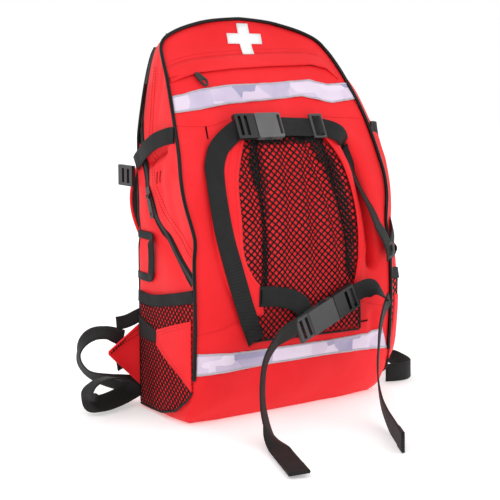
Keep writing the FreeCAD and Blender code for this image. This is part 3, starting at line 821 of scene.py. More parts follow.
def sculpt_strip(strip):
    """Lets the gusset belly out between the piping, the zip and the back."""
    y, z = strip[..., 1], strip[..., 2]
    seam = np.linspace(0, 1, AROUND)[None]
    zip_gap = distance_to_line(y, z, ZIP_LINE)
    edge = np.minimum(seam, 1 - seam) * 2
    lift = 2.6 * np.sin(np.pi * seam) * np.clip(zip_gap / 22.0, 0, 1) * np.ones_like(y)
    lift -= 1.0 * np.exp(-(zip_gap / 7.0) ** 2)
    for line, depth, width in GUSSET_CREASES:
        lift -= depth * np.exp(-(distance_to_line(y, z, line) / width) ** 2)
    flat = strip.reshape(-1, 3)
    lift += 1.3 * ripple(flat * (1, 1, 0.45), 22.0, 5).reshape(y.shape) * np.clip(zip_gap / 12, 0, 1)
    full = np.exp(-((y - front_y(z) - 22) / 25.0) ** 2) * np.interp(z, *BULGE_AT)
    lift += RIGHT_BULGE * full * (strip[..., 0] > 100)
    lift *= np.clip(edge * 7, 0, 1)
    along = np.roll(strip, -1, 0) - np.roll(strip, 1, 0)
    back = np.gradient(strip, axis=1)
    normal = unit(np.cross(along, back))
    outward = np.sign((normal * (strip - np.array([0, -30, 230]))).sum(-1, keepdims=True))
    normal *= outward
    on_floor = z < 0.5
    lift = np.where(on_floor, 0.0, lift)
    return strip + normal * lift[..., None]


def build_shell():
    """The sewn shell: front panel, gussets, top and base, and the back panel."""
    front, strip, back = shell_grids()
    front = sculpt_front(front)
    strip = sculpt_strip(strip)
    strip[:, 0] = loop_of(front)
    rows, columns = front.shape[:2]
    m, n = columns - 1, rows - 1
    total = 2 * m + 2 * n
    points = [front.reshape(-1, 3), strip[:, 1:-1].reshape(-1, 3), back.reshape(-1, 3)]
    front_ids = np.arange(rows * columns).reshape(rows, columns)
    strip_ids = len(points[0]) + np.arange(total * (AROUND - 2)).reshape(total, AROUND - 2)
    back_ids = len(points[0]) + len(points[1]) + np.arange(rows * columns).reshape(rows, columns)
    ids = np.hstack([loop_of(front_ids)[:, None], strip_ids, loop_of(back_ids)[:, None]])
    faces, region = [], []

    def add(quads, name):
        faces.extend(quads)
        region.extend([name] * len(quads))

    add([(front_ids[r, c], front_ids[r, c + 1], front_ids[r + 1, c + 1], front_ids[r + 1, c])
         for r in range(n) for c in range(m)], "front_panel")
    add([(back_ids[r, c], back_ids[r + 1, c], back_ids[r + 1, c + 1], back_ids[r, c + 1])
         for r in range(n) for c in range(m)], "back_panel")
    parts = [("base_panel", 0, m), ("gusset_right", m, m + n), ("top_gusset", m + n, 2 * m + n),
             ("gusset_left", 2 * m + n, total)]
    for name, start, stop in parts:
        add([(ids[k, c], ids[k, c + 1], ids[(k + 1) % total, c + 1], ids[(k + 1) % total, c])
             for k in range(start, stop) for c in range(AROUND - 1)], name)
    points = np.vstack(points)
    shell = add_piece("shell", points, faces, "red_fabric")
    held = np.full(len(points), 0.12)
    held[np.unique(np.r_[ids[:, 0], ids[:, -1]])] = 1.0
    held[points[:, 2] < 1.0] = 1.0
    held[back_ids.ravel()] = 1.0
    near_zip = distance_to_line(points[:, 1], points[:, 2], ZIP_LINE) < 9.0
    held[near_zip & (np.abs(points[:, 0]) > 60)] = 1.0
    soften(shell, held, pressure=1.2, cap=3.0, grow=-0.012)
    co = np.array([v.co for v in shell.data.vertices]) / MM
    for name in ("front_panel", "back_panel", "base_panel", "gusset_right", "top_gusset", "gusset_left"):
        chosen = [f for f, r in zip(faces, region) if r == name]
        used = np.unique(np.array(chosen).ravel())
        renumber = {int(old): new for new, old in enumerate(used)}
        local = co[used]
        plane = (1, 2) if name.startswith("gusset") else (0, 1) if name == "base_panel" else (0, 2)
        uvs = local[:, plane]
        own = [[renumber[int(i)] for i in f] for f in chosen]
        panel = add_piece(name, local, own, "red_fabric", uvs)
        modify(panel, "SUBSURF", levels=1, render_levels=1)
        inward = SHELL_WALL if name != "base_panel" else 1.0
        modify(panel, "SOLIDIFY", thickness=inward * MM, offset=-1.0)
        dress(panel, "root", "red_fabric", name)
        PANELS[name] = BVHTree.FromPolygons([Vector(v.co) / MM for v in panel.data.vertices],
                                            [p.vertices[:] for p in panel.data.polygons])
    bpy.data.objects.remove(shell)


def loop_of(grid):
    """The edge of a grid, once round from its lowest left corner."""
    return np.concatenate([grid[0, :-1], grid[:-1, -1], grid[-1, :0:-1], grid[:0:-1, 0]])


SHELL_WALL = 1.2
PANELS = {}


# ---- finding places on the body ------------------------------------------------------
def front_at(x, z, lift=0.0):
    """Point on the sewn front panel and the direction out of it."""
    def hit(a, b):
        found = PANELS["front_panel"].ray_cast(Vector((a, -300, b)), Vector((0, 1, 0)))[0]
        return np.array(found) if found is not None else np.array([a, float(front_y(b)), b])
    p = hit(x, z)
    reach = 5.0
    du = hit(x + reach, z) - hit(x - reach, z)
    dv = hit(x, min(z + reach, 497)) - hit(x, z - reach)
    slope_x = np.clip(du[1] / max(du[0], 1e-6), -0.5, 0.5)
    slope_z = np.clip(dv[1] / max(dv[2], 1e-6), -2.5, 2.5)
    normal = unit(np.array([slope_x, -1.0, slope_z]))
    return p + normal * lift, normal


def on_front(line, lift):
    """Places and directions on the front panel for a line of (x, z)."""
    return gathered([front_at(x, z, lift) for x, z in line])


def with_lift(route, lift):
    """A route of (a, b) or (a, b, lift) as rows of three."""
    return np.array([(r[0], r[1], r[2] if len(r) > 2 else lift) for r in route], float)


def front_line(route, lift, spacing=4.0):
    """A smooth route given as (x, z) or (x, z, lift), laid on the front panel."""
    line = even(spline(with_lift(route, lift)), spacing)
    return gathered([front_at(x, z, h) for x, z, h in line])


def side_at(side, y, z, lift=0.0):
    """Point on the left (-1) or right (1) gusset and the direction out of it."""
    tree = PANELS["gusset_left" if side < 0 else "gusset_right"]
    found = tree.ray_cast(Vector((side * 300, y, z)), Vector((-side, 0, 0)))[0]
    x = found[0] if found is not None else side * HALF_WIDTH
    return np.array([x + side * lift, y, z]), np.array([side, 0.0, 0.0])


def side_line(side, route, lift):
    """The same on a gusset, for a route given as (y, z) or (y, z, lift)."""
    line = even(spline(with_lift(route, lift)), 4.0)
    return gathered([side_at(side, y, z, h) for y, z, h in line])


# ---- piping and zips -----------------------------------------------------------------
def build_piping():
    ring = np.vstack([OUTLINE, (OUTLINE * (-1, 1))[::-1][1:]])
    ring = ring[ring[:, 1] > 58]
    line = even(ring, 4.0)
    points = np.stack([line[:, 0] * 1.004, front_y(line[:, 1]) - 0.8, line[:, 1] + 0.4], 1)
    points += 0.5 * np.stack([ripple(points, 30.0, 8), ripple(points, 30.0, 9), 0 * line[:, 0]], 1)
    piece = sweep("front_piping", points, facing((0, -1, 0.3), points), round_section(2.3),
                  "gloss_piping")
    dress(piece, "root", "gloss_piping", "front_piping")
    for side, word in ((-1, "left"), (1, "right")):
        heights = np.linspace(6, 410, 90)
        inner = HALF_WIDTH - REAR_RADIUS
        angle = math.asin((26 - (BACK_Y - REAR_RADIUS)) / REAR_RADIUS)
        reach = np.interp(heights, OUTLINE[:, 1], OUTLINE[:, 0])
        x = np.minimum(inner + REAR_RADIUS * math.cos(angle), reach)
        points = np.stack([side * (x + 0.6), np.full(90, 26.6), heights], 1)
        piece = sweep("rear_piping_" + word, points, facing((side, 0.5, 0), points),
                      round_section(2.0), "gloss_piping")
        dress(piece, "root", "gloss_piping", *once(side, "rear_piping"))


def zip_run(side):
    """The zip from the crown of the bag down one gusset, on its surface."""
    route = [(40, 455), (40, 430), (37, 400), (30, 364), (15, 332), (5, 307), (-4, 285), (-13, 262),
             (-23, 241), (-44, 222), (-75, 198), (-104, 179)]
    line = even(spline([(0, y, z) for y, z in route]), 2.0)
    return gathered([side_at(side, y, z, 0.0) for _, y, z in line])


def build_main_zip():
    verts, faces, uvs = [], [], []
    for side, word in ((-1, "left"), (1, "right")):
        points, normals = zip_run(side)
        piece = sweep("main_zip_tape_" + word, points + normals * 0.35, normals,
                      strap_section(15.0, 0.8), "zip_tape")
        dress(piece, "root", "zip_tape", *once(side, "main_zip_tape"))
        along = tangents(points)
        across = np.cross(along, normals)
        for k in range(len(points)):
            for row in (-1, 1):
                centre = points[k] + normals[k] * 0.9 + across[k] * 1.35 * row
                centre = centre + along[k] * (0.5 * row)
                base = len(verts)
                for a in (-0.75, 0.75):
                    for b, h in ((-1.5, -0.3), (-1.1, 0.45), (1.1, 0.45), (1.5, -0.3)):
                        verts.append(centre + along[k] * a + across[k] * b + normals[k] * h)
                for c in range(4):
                    d = (c + 1) % 4
                    faces.append((base + c, base + d, base + 4 + d, base + 4 + c))
                faces += [(base + 3, base + 2, base + 1, base), (base + 4, base + 5, base + 6, base + 7)]
                uvs += [(0.0, 0.0)] * 8
    dress(add_piece("main_zip_coil", verts, faces, "zip_coil", uvs), "root", "zip_tape")


# ---- trim on the front ---------------------------------------------------------------
def strip_surface(low, high, crumple, seed, cut=0.0):
    """A band laid across the front, from seam to seam; cut slants its right end."""
    def place(share, t):
        z = 0.0
        for _ in range(3):
            limit = np.interp(z, OUTLINE[:, 1], OUTLINE[:, 0]) - 2.6
            x = -limit + share * (2 * limit - cut * t)
            z = np.interp(x, *low) * (1 - t) + np.interp(x, *high) * t
        p, n = front_at(float(x), float(z), 0.9)
        return p + n * crumple * noise.noise(Vector(p) / 13.0 + Vector((seed, 0, 0)))
    return lay(9, 120, place)


# Lower and upper edge of each band as x and z values, and how far its end slants
BANDS = {
    "upper_reflective_band": (([-143, -105, -63, 1, 51, 97, 139],
                               [376, 380, 386, 390, 394, 385, 389]),
                              ([-141, -97, -54, 9, 73, 100, 127],
                               [393, 402, 407, 409, 413, 407, 408]), 0),
    "lower_reflective_band": (([-147, -100, -50, 50, 110, 148], [67, 67, 69, 69, 67, 64]),
                              ([-147, -100, -50, 50, 110, 142], [92, 88, 87, 86, 87, 92]), 11),
}


def build_bands():
    for name, (low, high, cut) in BANDS.items():
        surface = strip_surface(low, high, 1.1, len(name) + cut, cut)
        piece = sheet_piece(name, surface, 0.6, "reflective_tape")
        dress(piece, "root", "reflective_tape", name)
        edges = []
        for row in (0, -1):
            line = surface[row]
            normals = np.array([front_at(p[0], p[2])[1] for p in line])
            edge = sweep("%s_edge_%s" % (name, "low" if row == 0 else "high"), line + normals * 0.35,
                         normals, strap_section(2.6, 0.7), "tape_edge")
            dress(edge, "root", "reflective_tape")
            edges.append((line + normals * 0.75, normals))
        stitches(name + "_stitching", edges, "tape_edge", slot="reflective_tape", length=2.0, gap=1.0,
                 width=0.5, height=0.35)


LEAN = 0.15     # the patch was sewn on a little askew


def build_cross():
    """A plain equal-armed cross, stitched on near the top."""
    low, high = node_box("aid_cross")
    half, arm = (high[0] - low[0]) / 2, (high[0] - low[0]) * 0.165
    middle, tall = (low[2] + high[2]) / 2, (high[2] - low[2]) / 2
    squash = 0.93 * tall / half
    steps = [-half, -half * 0.66, -arm, -arm * 0.4, arm * 0.4, arm, half * 0.66, half]
    spots = [(a, b) for b in steps for a in steps]
    cells = [f for k, f in enumerate(grid_faces(8, 8)) if 2 <= k // 7 < 5 or 2 <= k % 7 < 5]
    used = sorted({i for f in cells for i in f})
    points = [front_at(a + LEAN * b, middle + b * squash, 0.9)[0] for a, b in spots]
    faces = [[used.index(i) for i in f] for f in cells]
    piece = add_piece("aid_cross", [points[i] for i in used], faces, "white_patch",
                      [spots[i] for i in used])
    modify(piece, "SOLIDIFY", thickness=0.9 * MM, offset=0.0)
    dress(piece, "root", "white_patch", "aid_cross")

    corners = [(-arm, -half), (arm, -half), (arm, -arm), (half, -arm), (half, arm), (arm, arm),
               (arm, half), (-arm, half), (-arm, arm), (-half, arm), (-half, -arm), (-arm, -arm)]
    inset = 1.4
    seam = [(a - math.copysign(inset, a) + LEAN * b, middle + (b - math.copysign(inset, b)) * squash)
            for a, b in corners]
    rows = [on_front(even([p, q], 3.0), 1.45) for p, q in zip(seam, seam[1:] + seam[:1])]
    stitches("aid_cross_stitching", rows, "white_patch", slot="white_patch", length=1.8, gap=0.9,
             width=0.45, height=0.3)


def build_pocket_pull():
    """A flat pull that hangs from under the fold, with a round hole near its end."""
    root, way, across = np.array([-97.0, 421.0]), np.array([0.60, -0.80]), np.array([0.80, 0.60])
    rim, hole = [], []
    for a, b in round_section(1.0, 24):
        along = 13.0 + (5.6 * a if a > 0 else 13.0 * a)
        square = 1.0 if a > 0 else 0.45
        width = (5.4 if a > 0 else 5.4 + 1.2 * a) * math.copysign(abs(b) ** square, b)
        rim.append(root + way * along + across * width)
        hole.append(root + way * (13.4 + 2.7 * a) + across * 2.7 * b)
    points = [front_at(p[0], p[1], 3.6)[0] for p in rim + hole]
    faces = [(k, (k + 1) % 24, 24 + (k + 1) % 24, 24 + k) for k in range(24)]
    piece = add_piece("pocket_zip_pull", points, faces, "zip_metal", rim + hole, smooth=False)
    modify(piece, "SOLIDIFY", thickness=1.5 * MM, offset=0.0)
    modify(piece, "BEVEL", width=0.4 * MM, segments=2)
    dress(piece, "pocket_pull", "zip_metal", "pocket_zip_pull")


def build_pocket_zip():
    """The fold that covers the upper pocket's zip, and the tape under it."""
    edge_x, edge_z = zip(*POCKET_EDGE)

    def place(u, v):
        x = -133 + 257 * u
        lift = 0.3 + 2.3 * (1 - v) ** 0.6 * min(1.0, 89 * (1 - u) / 6, 89 * u / 6)
        return front_at(x, np.interp(x, edge_x, edge_z) + 17.0 * v, lift)[0]
    surface = lay(9, 90, place)
    piece = sheet_piece("pocket_flap", surface, 1.0, "red_fabric")
    dress(piece, "root", "red_fabric", "pocket_flap")
    tape, normals = front_line([(x, z + 4.6) for x, z in POCKET_EDGE[:-1]], 0.4)
    piece = sweep("pocket_zip_tape", tape, normals, strap_section(7.0, 0.7), "zip_tape")
    dress(piece, "root", "zip_tape", "pocket_zip_tape")
    body, normals = front_line([(-106, 421.5), (-99, 423.5), (-92, 425)], 1.6, 2.0)
    piece = sweep("pocket_zip_slider", body, normals, strap_section(6.0, 1.6), "zip_metal")
    dress(piece, "pocket_slider", "zip_metal", "pocket_zip_slider")
    build_pocket_pull()
    rows = [front_line([(x, z + rise) for x, z in POCKET_EDGE[:-1]], lift)
            for rise, lift in ((19.0, 0.2), (23.0, 0.1), (4.5, 2.2))]
    stitches("pocket_flap_stitching", rows, "red_thread", slot="red_fabric", height=0.4)


# ---- open mesh -----------------------------------------------------------------------
def inside(polygon, a, b):
    hit = False
    for (p, q), (r, s) in zip(polygon, polygon[1:] + polygon[:1]):
        if (q > b) != (s > b) and a < (r - p) * (b - q) / (s - q) + p:
            hit = not hit
    return hit


def held_inside(polygon, a, b):
    """The same place, or the nearest one on the outline if it lies outside."""
    if inside(polygon, a, b):
        return a, b
    best, spot = 1e9, (a, b)
    for (p, q), (r, s) in zip(polygon, polygon[1:] + polygon[:1]):
        dx, dz = r - p, s - q
        t = min(1.0, max(0.0, ((a - p) * dx + (b - q) * dz) / (dx * dx + dz * dz)))
        gap = math.hypot(a - p - t * dx, b - q - t * dz)
        if gap < best:
            best, spot = gap, (p + t * dx, q + t * dz)
    return spot


def net(name, outline_points, place, step_a, step_b, hole, thickness, nodes=(), slot="black_mesh"):
    """Knitted mesh: staggered cells with a round hole each, laid out by place(a, b).

    With no hole it is plain cloth."""
    low_a, low_b = np.min(outline_points, axis=0)
    high_a, high_b = np.max(outline_points, axis=0)
    verts, uvs, keys, faces = [], [], {}, []

    def corner(a, b):
        key = (round(a, 2), round(b, 2))
        if key not in keys:
            keys[key] = len(verts)
            verts.append(place(*held_inside(outline_points, a, b)))
            uvs.append((a, b))
        return keys[key]

    rows = int((high_b - low_b) / step_b) + 1
    columns = int((high_a - low_a) / (2 * step_a)) + 1
    for r in range(rows + 1):
        for c in range(columns + 1):
            a = low_a + 2 * step_a * c + (step_a if r % 2 else 0.0)
            b = low_b + step_b * r
            if not inside(outline_points, a, b):
                continue
            ends = [corner(a + step_a, b), corner(a, b + step_b), corner(a - step_a, b),
                    corner(a, b - step_b)]
            if not hole:
                faces.append(ends)
                continue
            ring = []
            for k in range(8):
                t = math.pi * k / 4
                reach = hole if k % 2 == 0 else hole * 0.78
                ring.append(len(verts))
                spot = (a + reach * step_a * math.cos(t), b + reach * step_b * math.sin(t))
                verts.append(place(*held_inside(outline_points, *spot)))
                uvs.append(spot)
            for k in range(4):
                faces.append((ends[k], ends[(k + 1) % 4], ring[(2 * k + 2) % 8], ring[2 * k + 1],
                              ring[2 * k]))
    piece = add_piece(name, verts, faces, slot, uvs)
    modify(piece, "SOLIDIFY", thickness=thickness * MM, offset=0.0)
    return dress(piece, "root", slot, *nodes)


MESH_OUTLINE = [(-56, 350), (-79, 322), (-90, 280), (-94, 230), (-94, 186), (-74, 166), (-68, 130),
                (-76, 104), (-72, 99), (96, 97), (95, 129), (97, 160), (100, 200), (98, 250), (92, 290),
                (78, 325), (60, 350)]
# Gathers of the mesh: where each lies at mid height, how it leans, its depth
GATHERS = [(-62, -0.02, 1.0), (-46, 0.04, 1.7), (-12, 0.10, 0.6), (24, -0.02, 1.0), (52, -0.16, 1.3),
           (72, -0.10, 1.7)]


# Outlines of the places where the mesh lies double
PLEATS = [[(-62, 310), (-50, 345), (-36, 340), (-34, 300), (-40, 250), (-44, 200), (-52, 150),
           (-62, 160), (-58, 220), (-56, 270)],
          [(34, 345), (58, 338), (74, 310), (84, 270), (90, 220), (84, 160), (68, 170), (70, 220),
           (62, 260), (50, 300)],
          [(-50, 352), (56, 352), (66, 336), (30, 332), (-30, 334), (-60, 330)]]


def build_front_mesh():
    def behind(x, z):
        return place(x, z) + (0, 1.0, 0)

    def doubled(x, z):
        return place(x + 1.1, z + 1.6) + (0, -1.1, 0)

    def place(x, z):
        top = min(1.0, max(0.0, (z - 118.0) / 120.0))
        lift, shift = 1.9, 0.0
        for middle, lean, depth in GATHERS:
            away = x - middle - lean * (z - 240.0) - 2.0 * math.sin(z / 37.0 + middle)
            hold = math.exp(-(away / 17.0) ** 2) * top * depth
            shift -= 2.6 * math.tanh(away / 5.0) * hold
            lift += 2.2 * (0.5 - math.exp(-(away / 4.5) ** 2)) * hold
        lift += 0.7 * noise.noise(Vector((x, z, 0)) / 16.0)
        p, n = front_at(x + shift, z, 0.0)
        return p + n * max(1.0, lift)
    net("mesh_panel", MESH_OUTLINE, place, 4.2, 4.2, 0.68, 0.6, ["mesh_panel"])
    net("mesh_backing", MESH_OUTLINE, behind, 4.2, 4.2, 0, 0.4, slot="red_fabric")
    for index, pleat in enumerate(PLEATS):
        net("mesh_pleat_%d" % (index + 1), pleat, doubled, 3.6, 4.2, 0.6, 0.5)
    binding("mesh_binding_low", [(-70, 100), (0, 98), (95, 96)], 2.4, 1.4)
    binding("mesh_binding_right", [(96, 97), (95, 115), (94, 134)], 2.6, 1.4)


# Inner and outer edge of each wing, as (x, z)
WINGS = {
    "mesh_wing_left": ([(-52, 352), (-77, 309), (-82, 270), (-83, 239), (-85, 203), (-72, 178),
                        (-61, 168), (-58, 152), (-58, 132)],
                       [(-80, 356), (-108, 322), (-119, 280), (-121, 240), (-117, 205), (-110, 180),
                        (-102, 162), (-94, 148), (-84, 131)]),
    "mesh_wing_right": ([(58, 350), (80, 318), (88, 290), (92, 260), (94, 225), (92, 195), (88, 172),
                         (83, 156)],
                        [(76, 354), (98, 322), (104, 290), (107, 260), (109, 225), (110, 195),
                         (108, 172), (104, 156)]),
}


def build_wings():
    """Red hemmed panels that hold the mesh on each side."""
    def height(t):
        return 4.6 * (1 - t) ** 1.4 + 1.6 * math.sin(math.pi * t)

    for name, edges in WINGS.items():
        a, b = [resample(spline([(x, z, 0) for x, z in edge]), 70)[:, :2] for edge in edges]
        surface = lay(70, 11, lambda u, v: front_at(
            *(a[round(69 * v)] * (1 - u) + b[round(69 * v)] * u), height(u) + 0.3)[0])
        side = -1 if name.endswith("left") else 1
        piece = sheet_piece(name, surface[:, ::-side], 1.4, "red_fabric")
        dress(piece, "root", "red_fabric", *once(side, "mesh_wings"))
        rows = [on_front(a * (1 - t) + b * t, height(t) + 1.0) for t in (0.14, 0.42)]
        stitches(name + "_stitching", rows, "red_thread", slot="red_fabric", height=0.45)


def binding(name, route, lift, radius=1.5):
    points, normals = front_line(route, lift, 3.0)
    piece = sweep(name, points, normals, round_section(radius, 8, 0.7), "black_webbing")
    return dress(piece, "root", "black_mesh")


# ---- straps over the front -----------------------------------------------------------
def build_front_straps():
    buckle_z = 352.0
    left = [(-52, buckle_z, 12.5), (-65, buckle_z, 11.0), (-74, 348, 7.6), (-84, 342, 5.2),
            (-98, 330, 4.8), (-110, 304, 4.8), (-112, 270, 5.2), (-109, 230, 5.6), (-99, 190, 5.4),
            (-87, 150, 5.2), (-76, 120, 4.8), (-68, 101, 4.2)]
    points, normals = front_line(left, 6.0)
    strap("arch_strap_left", points, normals, WEB, "root", spacing=3.0, nodes=["arch_strap_left"])

    right = [(-5, buckle_z, 12.0), (18, buckle_z, 9.6), (40, buckle_z, 7.0), (54, buckle_z, 6.6),
             (67, 351, 7.0), (80, 347, 7.4), (91, 339, 7.8), (100, 328, 8.2), (107, 312, 8.6),
             (110, 295, 9.4), (114, 272, 10.6), (121, 247, 12.0), (129, 220, 12.5), (136, 197, 12.0),
             (138, 186, 10.0)]
    points, normals = front_line(right, 8.0)
    turn = np.clip((338.0 - points[:, 2]) / 45.0, 0, 1)[:, None]
    normals = normals * (1 - turn) + (AWAY + 0.35 * TOWARDS) * turn
    strap("arch_strap_right", points, normals, WEB, "root", spacing=3.0, nodes=["arch_strap_right"])

    hump = [(48, buckle_z, 7.9), (50.5, buckle_z, 8.6), (52.6, buckle_z, 13.2), (56, buckle_z, 13.9),
            (59.4, buckle_z, 13.2), (61.5, buckle_z, 8.6), (64, buckle_z, 7.9)]
    points, normals = front_line(hump, 8.0, 1.5)
    strap("tri_glide_webbing", points, facing(normals[0], points), WEB, "glide", spacing=0)

    left = [(-64, 155, 5.6), (-46, 154, 6.2), (-30, 151, 7.5), (-14, 146, 8.5), (-2, 138, 8.0),
            (4, 128, 7.0), (4, 116, 6.5)]
    points, normals = front_line(left, 6.0)
    strap("lower_strap_left", points, normals, WEB, "root", spacing=3.0, nodes=["lower_straps"])
    right = [(68, 142, 14.5), (82, 148, 15.0), (94, 152, 18.0), (103, 150, 24.0), (109, 143, 31.0),
             (113, 136, 36.0)]
    points, normals = front_line(right, 12.0)
    turn = np.linspace(0, 1, len(points))[:, None] ** 1.5
    normals = normals * (1 - turn) + AWAY * turn
    strap("lower_strap_right", points, normals, WEB - 1, "root", spacing=3.0)


def bartack(name, places):
    """Short dense bars of thread: (x, z, dx, dz, lift) each."""
    rows = []
    for x, z, dx, dz, lift in places:
        bar = even([(x - dx / 2, z - dz / 2), (x + dx / 2, z + dz / 2)], 2.0)
        points, normals = on_front(bar, lift)
        side = np.cross(tangents(points), normals)
        rows += [(points + side * shift, normals) for shift in (-0.7, 0.0, 0.7)]
    stitches(name, rows, "black_thread", length=1.9, gap=0.1, width=0.9, height=0.7)


def build_bartacks():
    bartack("front_bartacks", [(-104, 352, 1, 14, 0.4), (104, 105, 12, 1, 0.5), (105, 82, 12, 1, 0.5),
                               (-94, 88, 12, 1, 0.5), (-78, 72, 1, 13, 0.5), (-62, 155, 1, 18, 7.2)])
    seams = [front_line([(-146, 361), (-119, 359), (-93, 359), (-74, 366)], 0.2),
             front_line([(76, 367), (110, 365), (138, 364)], 0.2),
             front_line([(-148, 116), (-130, 117), (-108, 121), (-88, 130)], 0.2),
             front_line([(96, 132), (116, 126), (146, 119)], 0.2)]
    stitches("front_seam_stitching", seams, "red_thread", slot="red_fabric", height=0.35)
    ends = []
    for x in (-11.0, 11.0):
        bend = 0.25 * x
        ends.append(front_line([(-74.5 + x, 116 + bend), (-70.5 + x, 106.5 + bend),
                                (-66.5 + x, 97 + bend)], 6.4))
    ends.append(front_line([(-86, 114), (-75, 117), (-63, 121)], 6.6))
    ends.append(front_line([(-80, 96), (-69, 99), (-57, 102)], 5.6))
    stitches("arch_strap_left_stitching", ends, "black_thread", height=0.5)


# ---- sides ---------------------------------------------------------------------------
POCKET_RIM = [(-108, 169), (-84, 163), (-50, 156), (-18, 150), (8, 150), (23, 151)]
POCKET_FOOT = [(-104, 46), (-93, 33), (-69, 16), (-34, 6), (-6, 4), (22, 5)]


def pocket_point(side, y, z, extra=0.0):
    """On the bottle pocket, which bellies out from the gusset."""
    wall = min(HALF_WIDTH, float(np.interp(max(z, 2.0), OUTLINE[:60, 1], OUTLINE[:60, 0])))
    across = min(1.0, max(0.0, (y + 106.0) / 130.0))
    up = min(1.0, max(0.0, z / 150.0))
    belly = 0.3 + 0.7 * math.sin(math.pi * (0.1 + 0.7 * up))
    out = 1.4 + 6.0 * math.sin(math.pi * across) ** 0.7 * belly
    if side > 0:
        out += RIGHT_BULGE * math.exp(-((y + 84.0) / 25.0) ** 2) * float(np.interp(z, *BULGE_AT))
    rear = max(0.0, y - 14.0)
    surface = abs(side_at(side, y, max(z, 3.0))[0][0])
    x = max(wall + out - 0.035 * rear * rear, surface + 1.6)
    if side > 0:
        x = min(x, surface + 3.0)
    return np.array([side * (x + extra), y, z])


# Upper and lower edge of the patch and of the webbing tab on each pocket, as y and z values
PATCH_TOP = ([-104, -73, -29], [133, 124, 110])
PATCH_LOW = ([-104, -84, -48, -29], [47, 61, 80, 92])
TAB_TOP = ([-30, 22], [109, 119])
TAB_LOW = ([-30, 22], [94, 92])


def build_pocket(side, word):
    outline_points = ([(y, z - 10) for y, z in POCKET_RIM] + [(24, 100), (23, 40)]
                      + POCKET_FOOT[::-1] + [(-105, 90)])
    out = (float(side), 0, 0)

    def place(y, z):
        pull = max(0.0, (95.0 - z) / 95.0) * max(0.0, 1.0 - abs(y + 20.0) / 75.0)
        return pocket_point(side, y + 7.0 * pull * math.sin((y + 60.0) / 26.0), z)

    def between(low, high, lift):
        """A surface over the pocket between two edges."""
        y_from, y_to = high[0][0], high[0][-1]

        def spot(u, v):
            y = y_from + (y_to - y_from) * u
            z = np.interp(y, *low) + (np.interp(y, *high) - np.interp(y, *low)) * v
            return pocket_point(side, y, z, lift)
        return spot

    net("bottle_pocket_" + word, outline_points, place, *POCKET_NET, 0.70, 0.6,
        ["bottle_pocket_" + word])
    net("bottle_pocket_lining_" + word, outline_points,
        lambda y, z: place(y, z) - (side * 0.9, 0, 0), *POCKET_NET, 0, 0.4, slot="red_fabric")
    points = np.array([pocket_point(side, y, z, 0.3) for y, z in even(POCKET_FOOT, 3.0)])
    piece = sweep("pocket_foot_binding_" + word, points, facing(out, points),
                  round_section(1.5, 8, 0.8), "black_webbing")
    dress(piece, "root", "black_mesh")

    rim = even(spline([(y, z, 0) for y, z in POCKET_RIM]), 3.0)[:, :2]
    points = np.array([pocket_point(side, y, z - 6.0, 0.6) for y, z in rim])
    piece = sweep("pocket_hem_" + word, points, facing(out, points), strap_section(15.0, 1.6),
                  "black_elastic")
    dress(piece, "root", "black_elastic", *once(side, "pocket_hems"))

    surface = lay(26, 22, between(PATCH_LOW, PATCH_TOP, 1.1))
    piece = sheet_piece("pocket_patch_" + word, surface[:, ::-side], 1.0, "red_fabric")
    dress(piece, "root", "red_fabric", *once(side, "pocket_patches"))
    lines = []
    for inset in (3.0, 6.5):
        path = ([(y, np.interp(y, *PATCH_TOP) - inset) for y in (-100, -60)]
                + [(-29 - inset, 110 - inset), (-29 - inset, 92 + inset)]
                + [(y, np.interp(y, *PATCH_LOW) + inset) for y in (-50, -92)])
        points = np.array([pocket_point(side, y, z, 1.7) for y, z in even(path, 3.0)])
        lines.append((points, facing(out, points)))
    stitches("pocket_patch_stitching_" + word, lines, "red_thread", slot="red_fabric", height=0.35)

    surface = lay(9, 9, between(TAB_LOW, TAB_TOP, 1.2))
    piece = sheet_piece("pocket_tab_" + word, surface[:, ::-side], 1.4, "black_webbing")
    dress(piece, "root", "black_webbing")


def build_side_straps(side, word):
    run = [(-63, 350, 1.0), (-57, 350, 2.4), (-46, 347, 5.0), (-28, 342, 7.0), (-8, 330, 6.5),
           (10, 322, 5.0), (27, 311, 2.6)]
    points, normals = side_line(side, run, 5.0)
    strap("compression_strap_" + word, points, normals, 20.0, "root", spacing=3.0,
          nodes=["compression_straps"] if side < 0 else [])

    low, high = node_box("side_loops")
    reach = high[0] - 1.0
    top, bottom = high[2] - 5.0, low[2] + 5.0
    front = -15.0
    def on_wall(y, z):
        return tuple(side_at(side, y, z, 1.5)[0])
    path = [on_wall(28, top), on_wall(14, top), on_wall(2, top), on_wall(-8, top),
            (side * reach, front, top - 5), (side * reach, front - 1, top - 14),
            (side * reach, front - 2, (top + bottom) / 2), (side * reach, front - 1, bottom + 14),
            (side * reach, front, bottom + 5), on_wall(-8, bottom), on_wall(2, bottom),
            on_wall(14, bottom), on_wall(28, bottom)]
    line = even(spline(path), 2.0)
    normals = facing((float(side), -0.25, 0.0), line)
    strap("side_loop_" + word, line, normals, 10.0, "root", spacing=0, thickness=1.8,
          nodes=["side_loops"] if side < 0 else [])

    rows = []
    for line in ([(-36, 306), (-38, 292)], [(-30, 304), (-32, 290)]):
        middle = ((line[0][0] + line[1][0]) / 2, (line[0][1] + line[1][1]) / 2)
        rows.append(side_line(side, [line[0], middle, line[1]], 0.4))
    stitches("gusset_bartacks_" + word, rows, "black_thread", length=1.9, gap=0.1, width=1.0, height=0.6)
    seams = [side_line(side, route, 0.3) for route in (
        [(16, 430), (4, 380), (-6, 330), (-22, 284), (-44, 246), (-98, 208)],
        [(10, 430), (-2, 380), (-12, 334), (-28, 288), (-50, 252), (-98, 216)])]
    stitches("gusset_stitching_" + word, seams, "red_thread", slot="red_fabric", height=0.35)


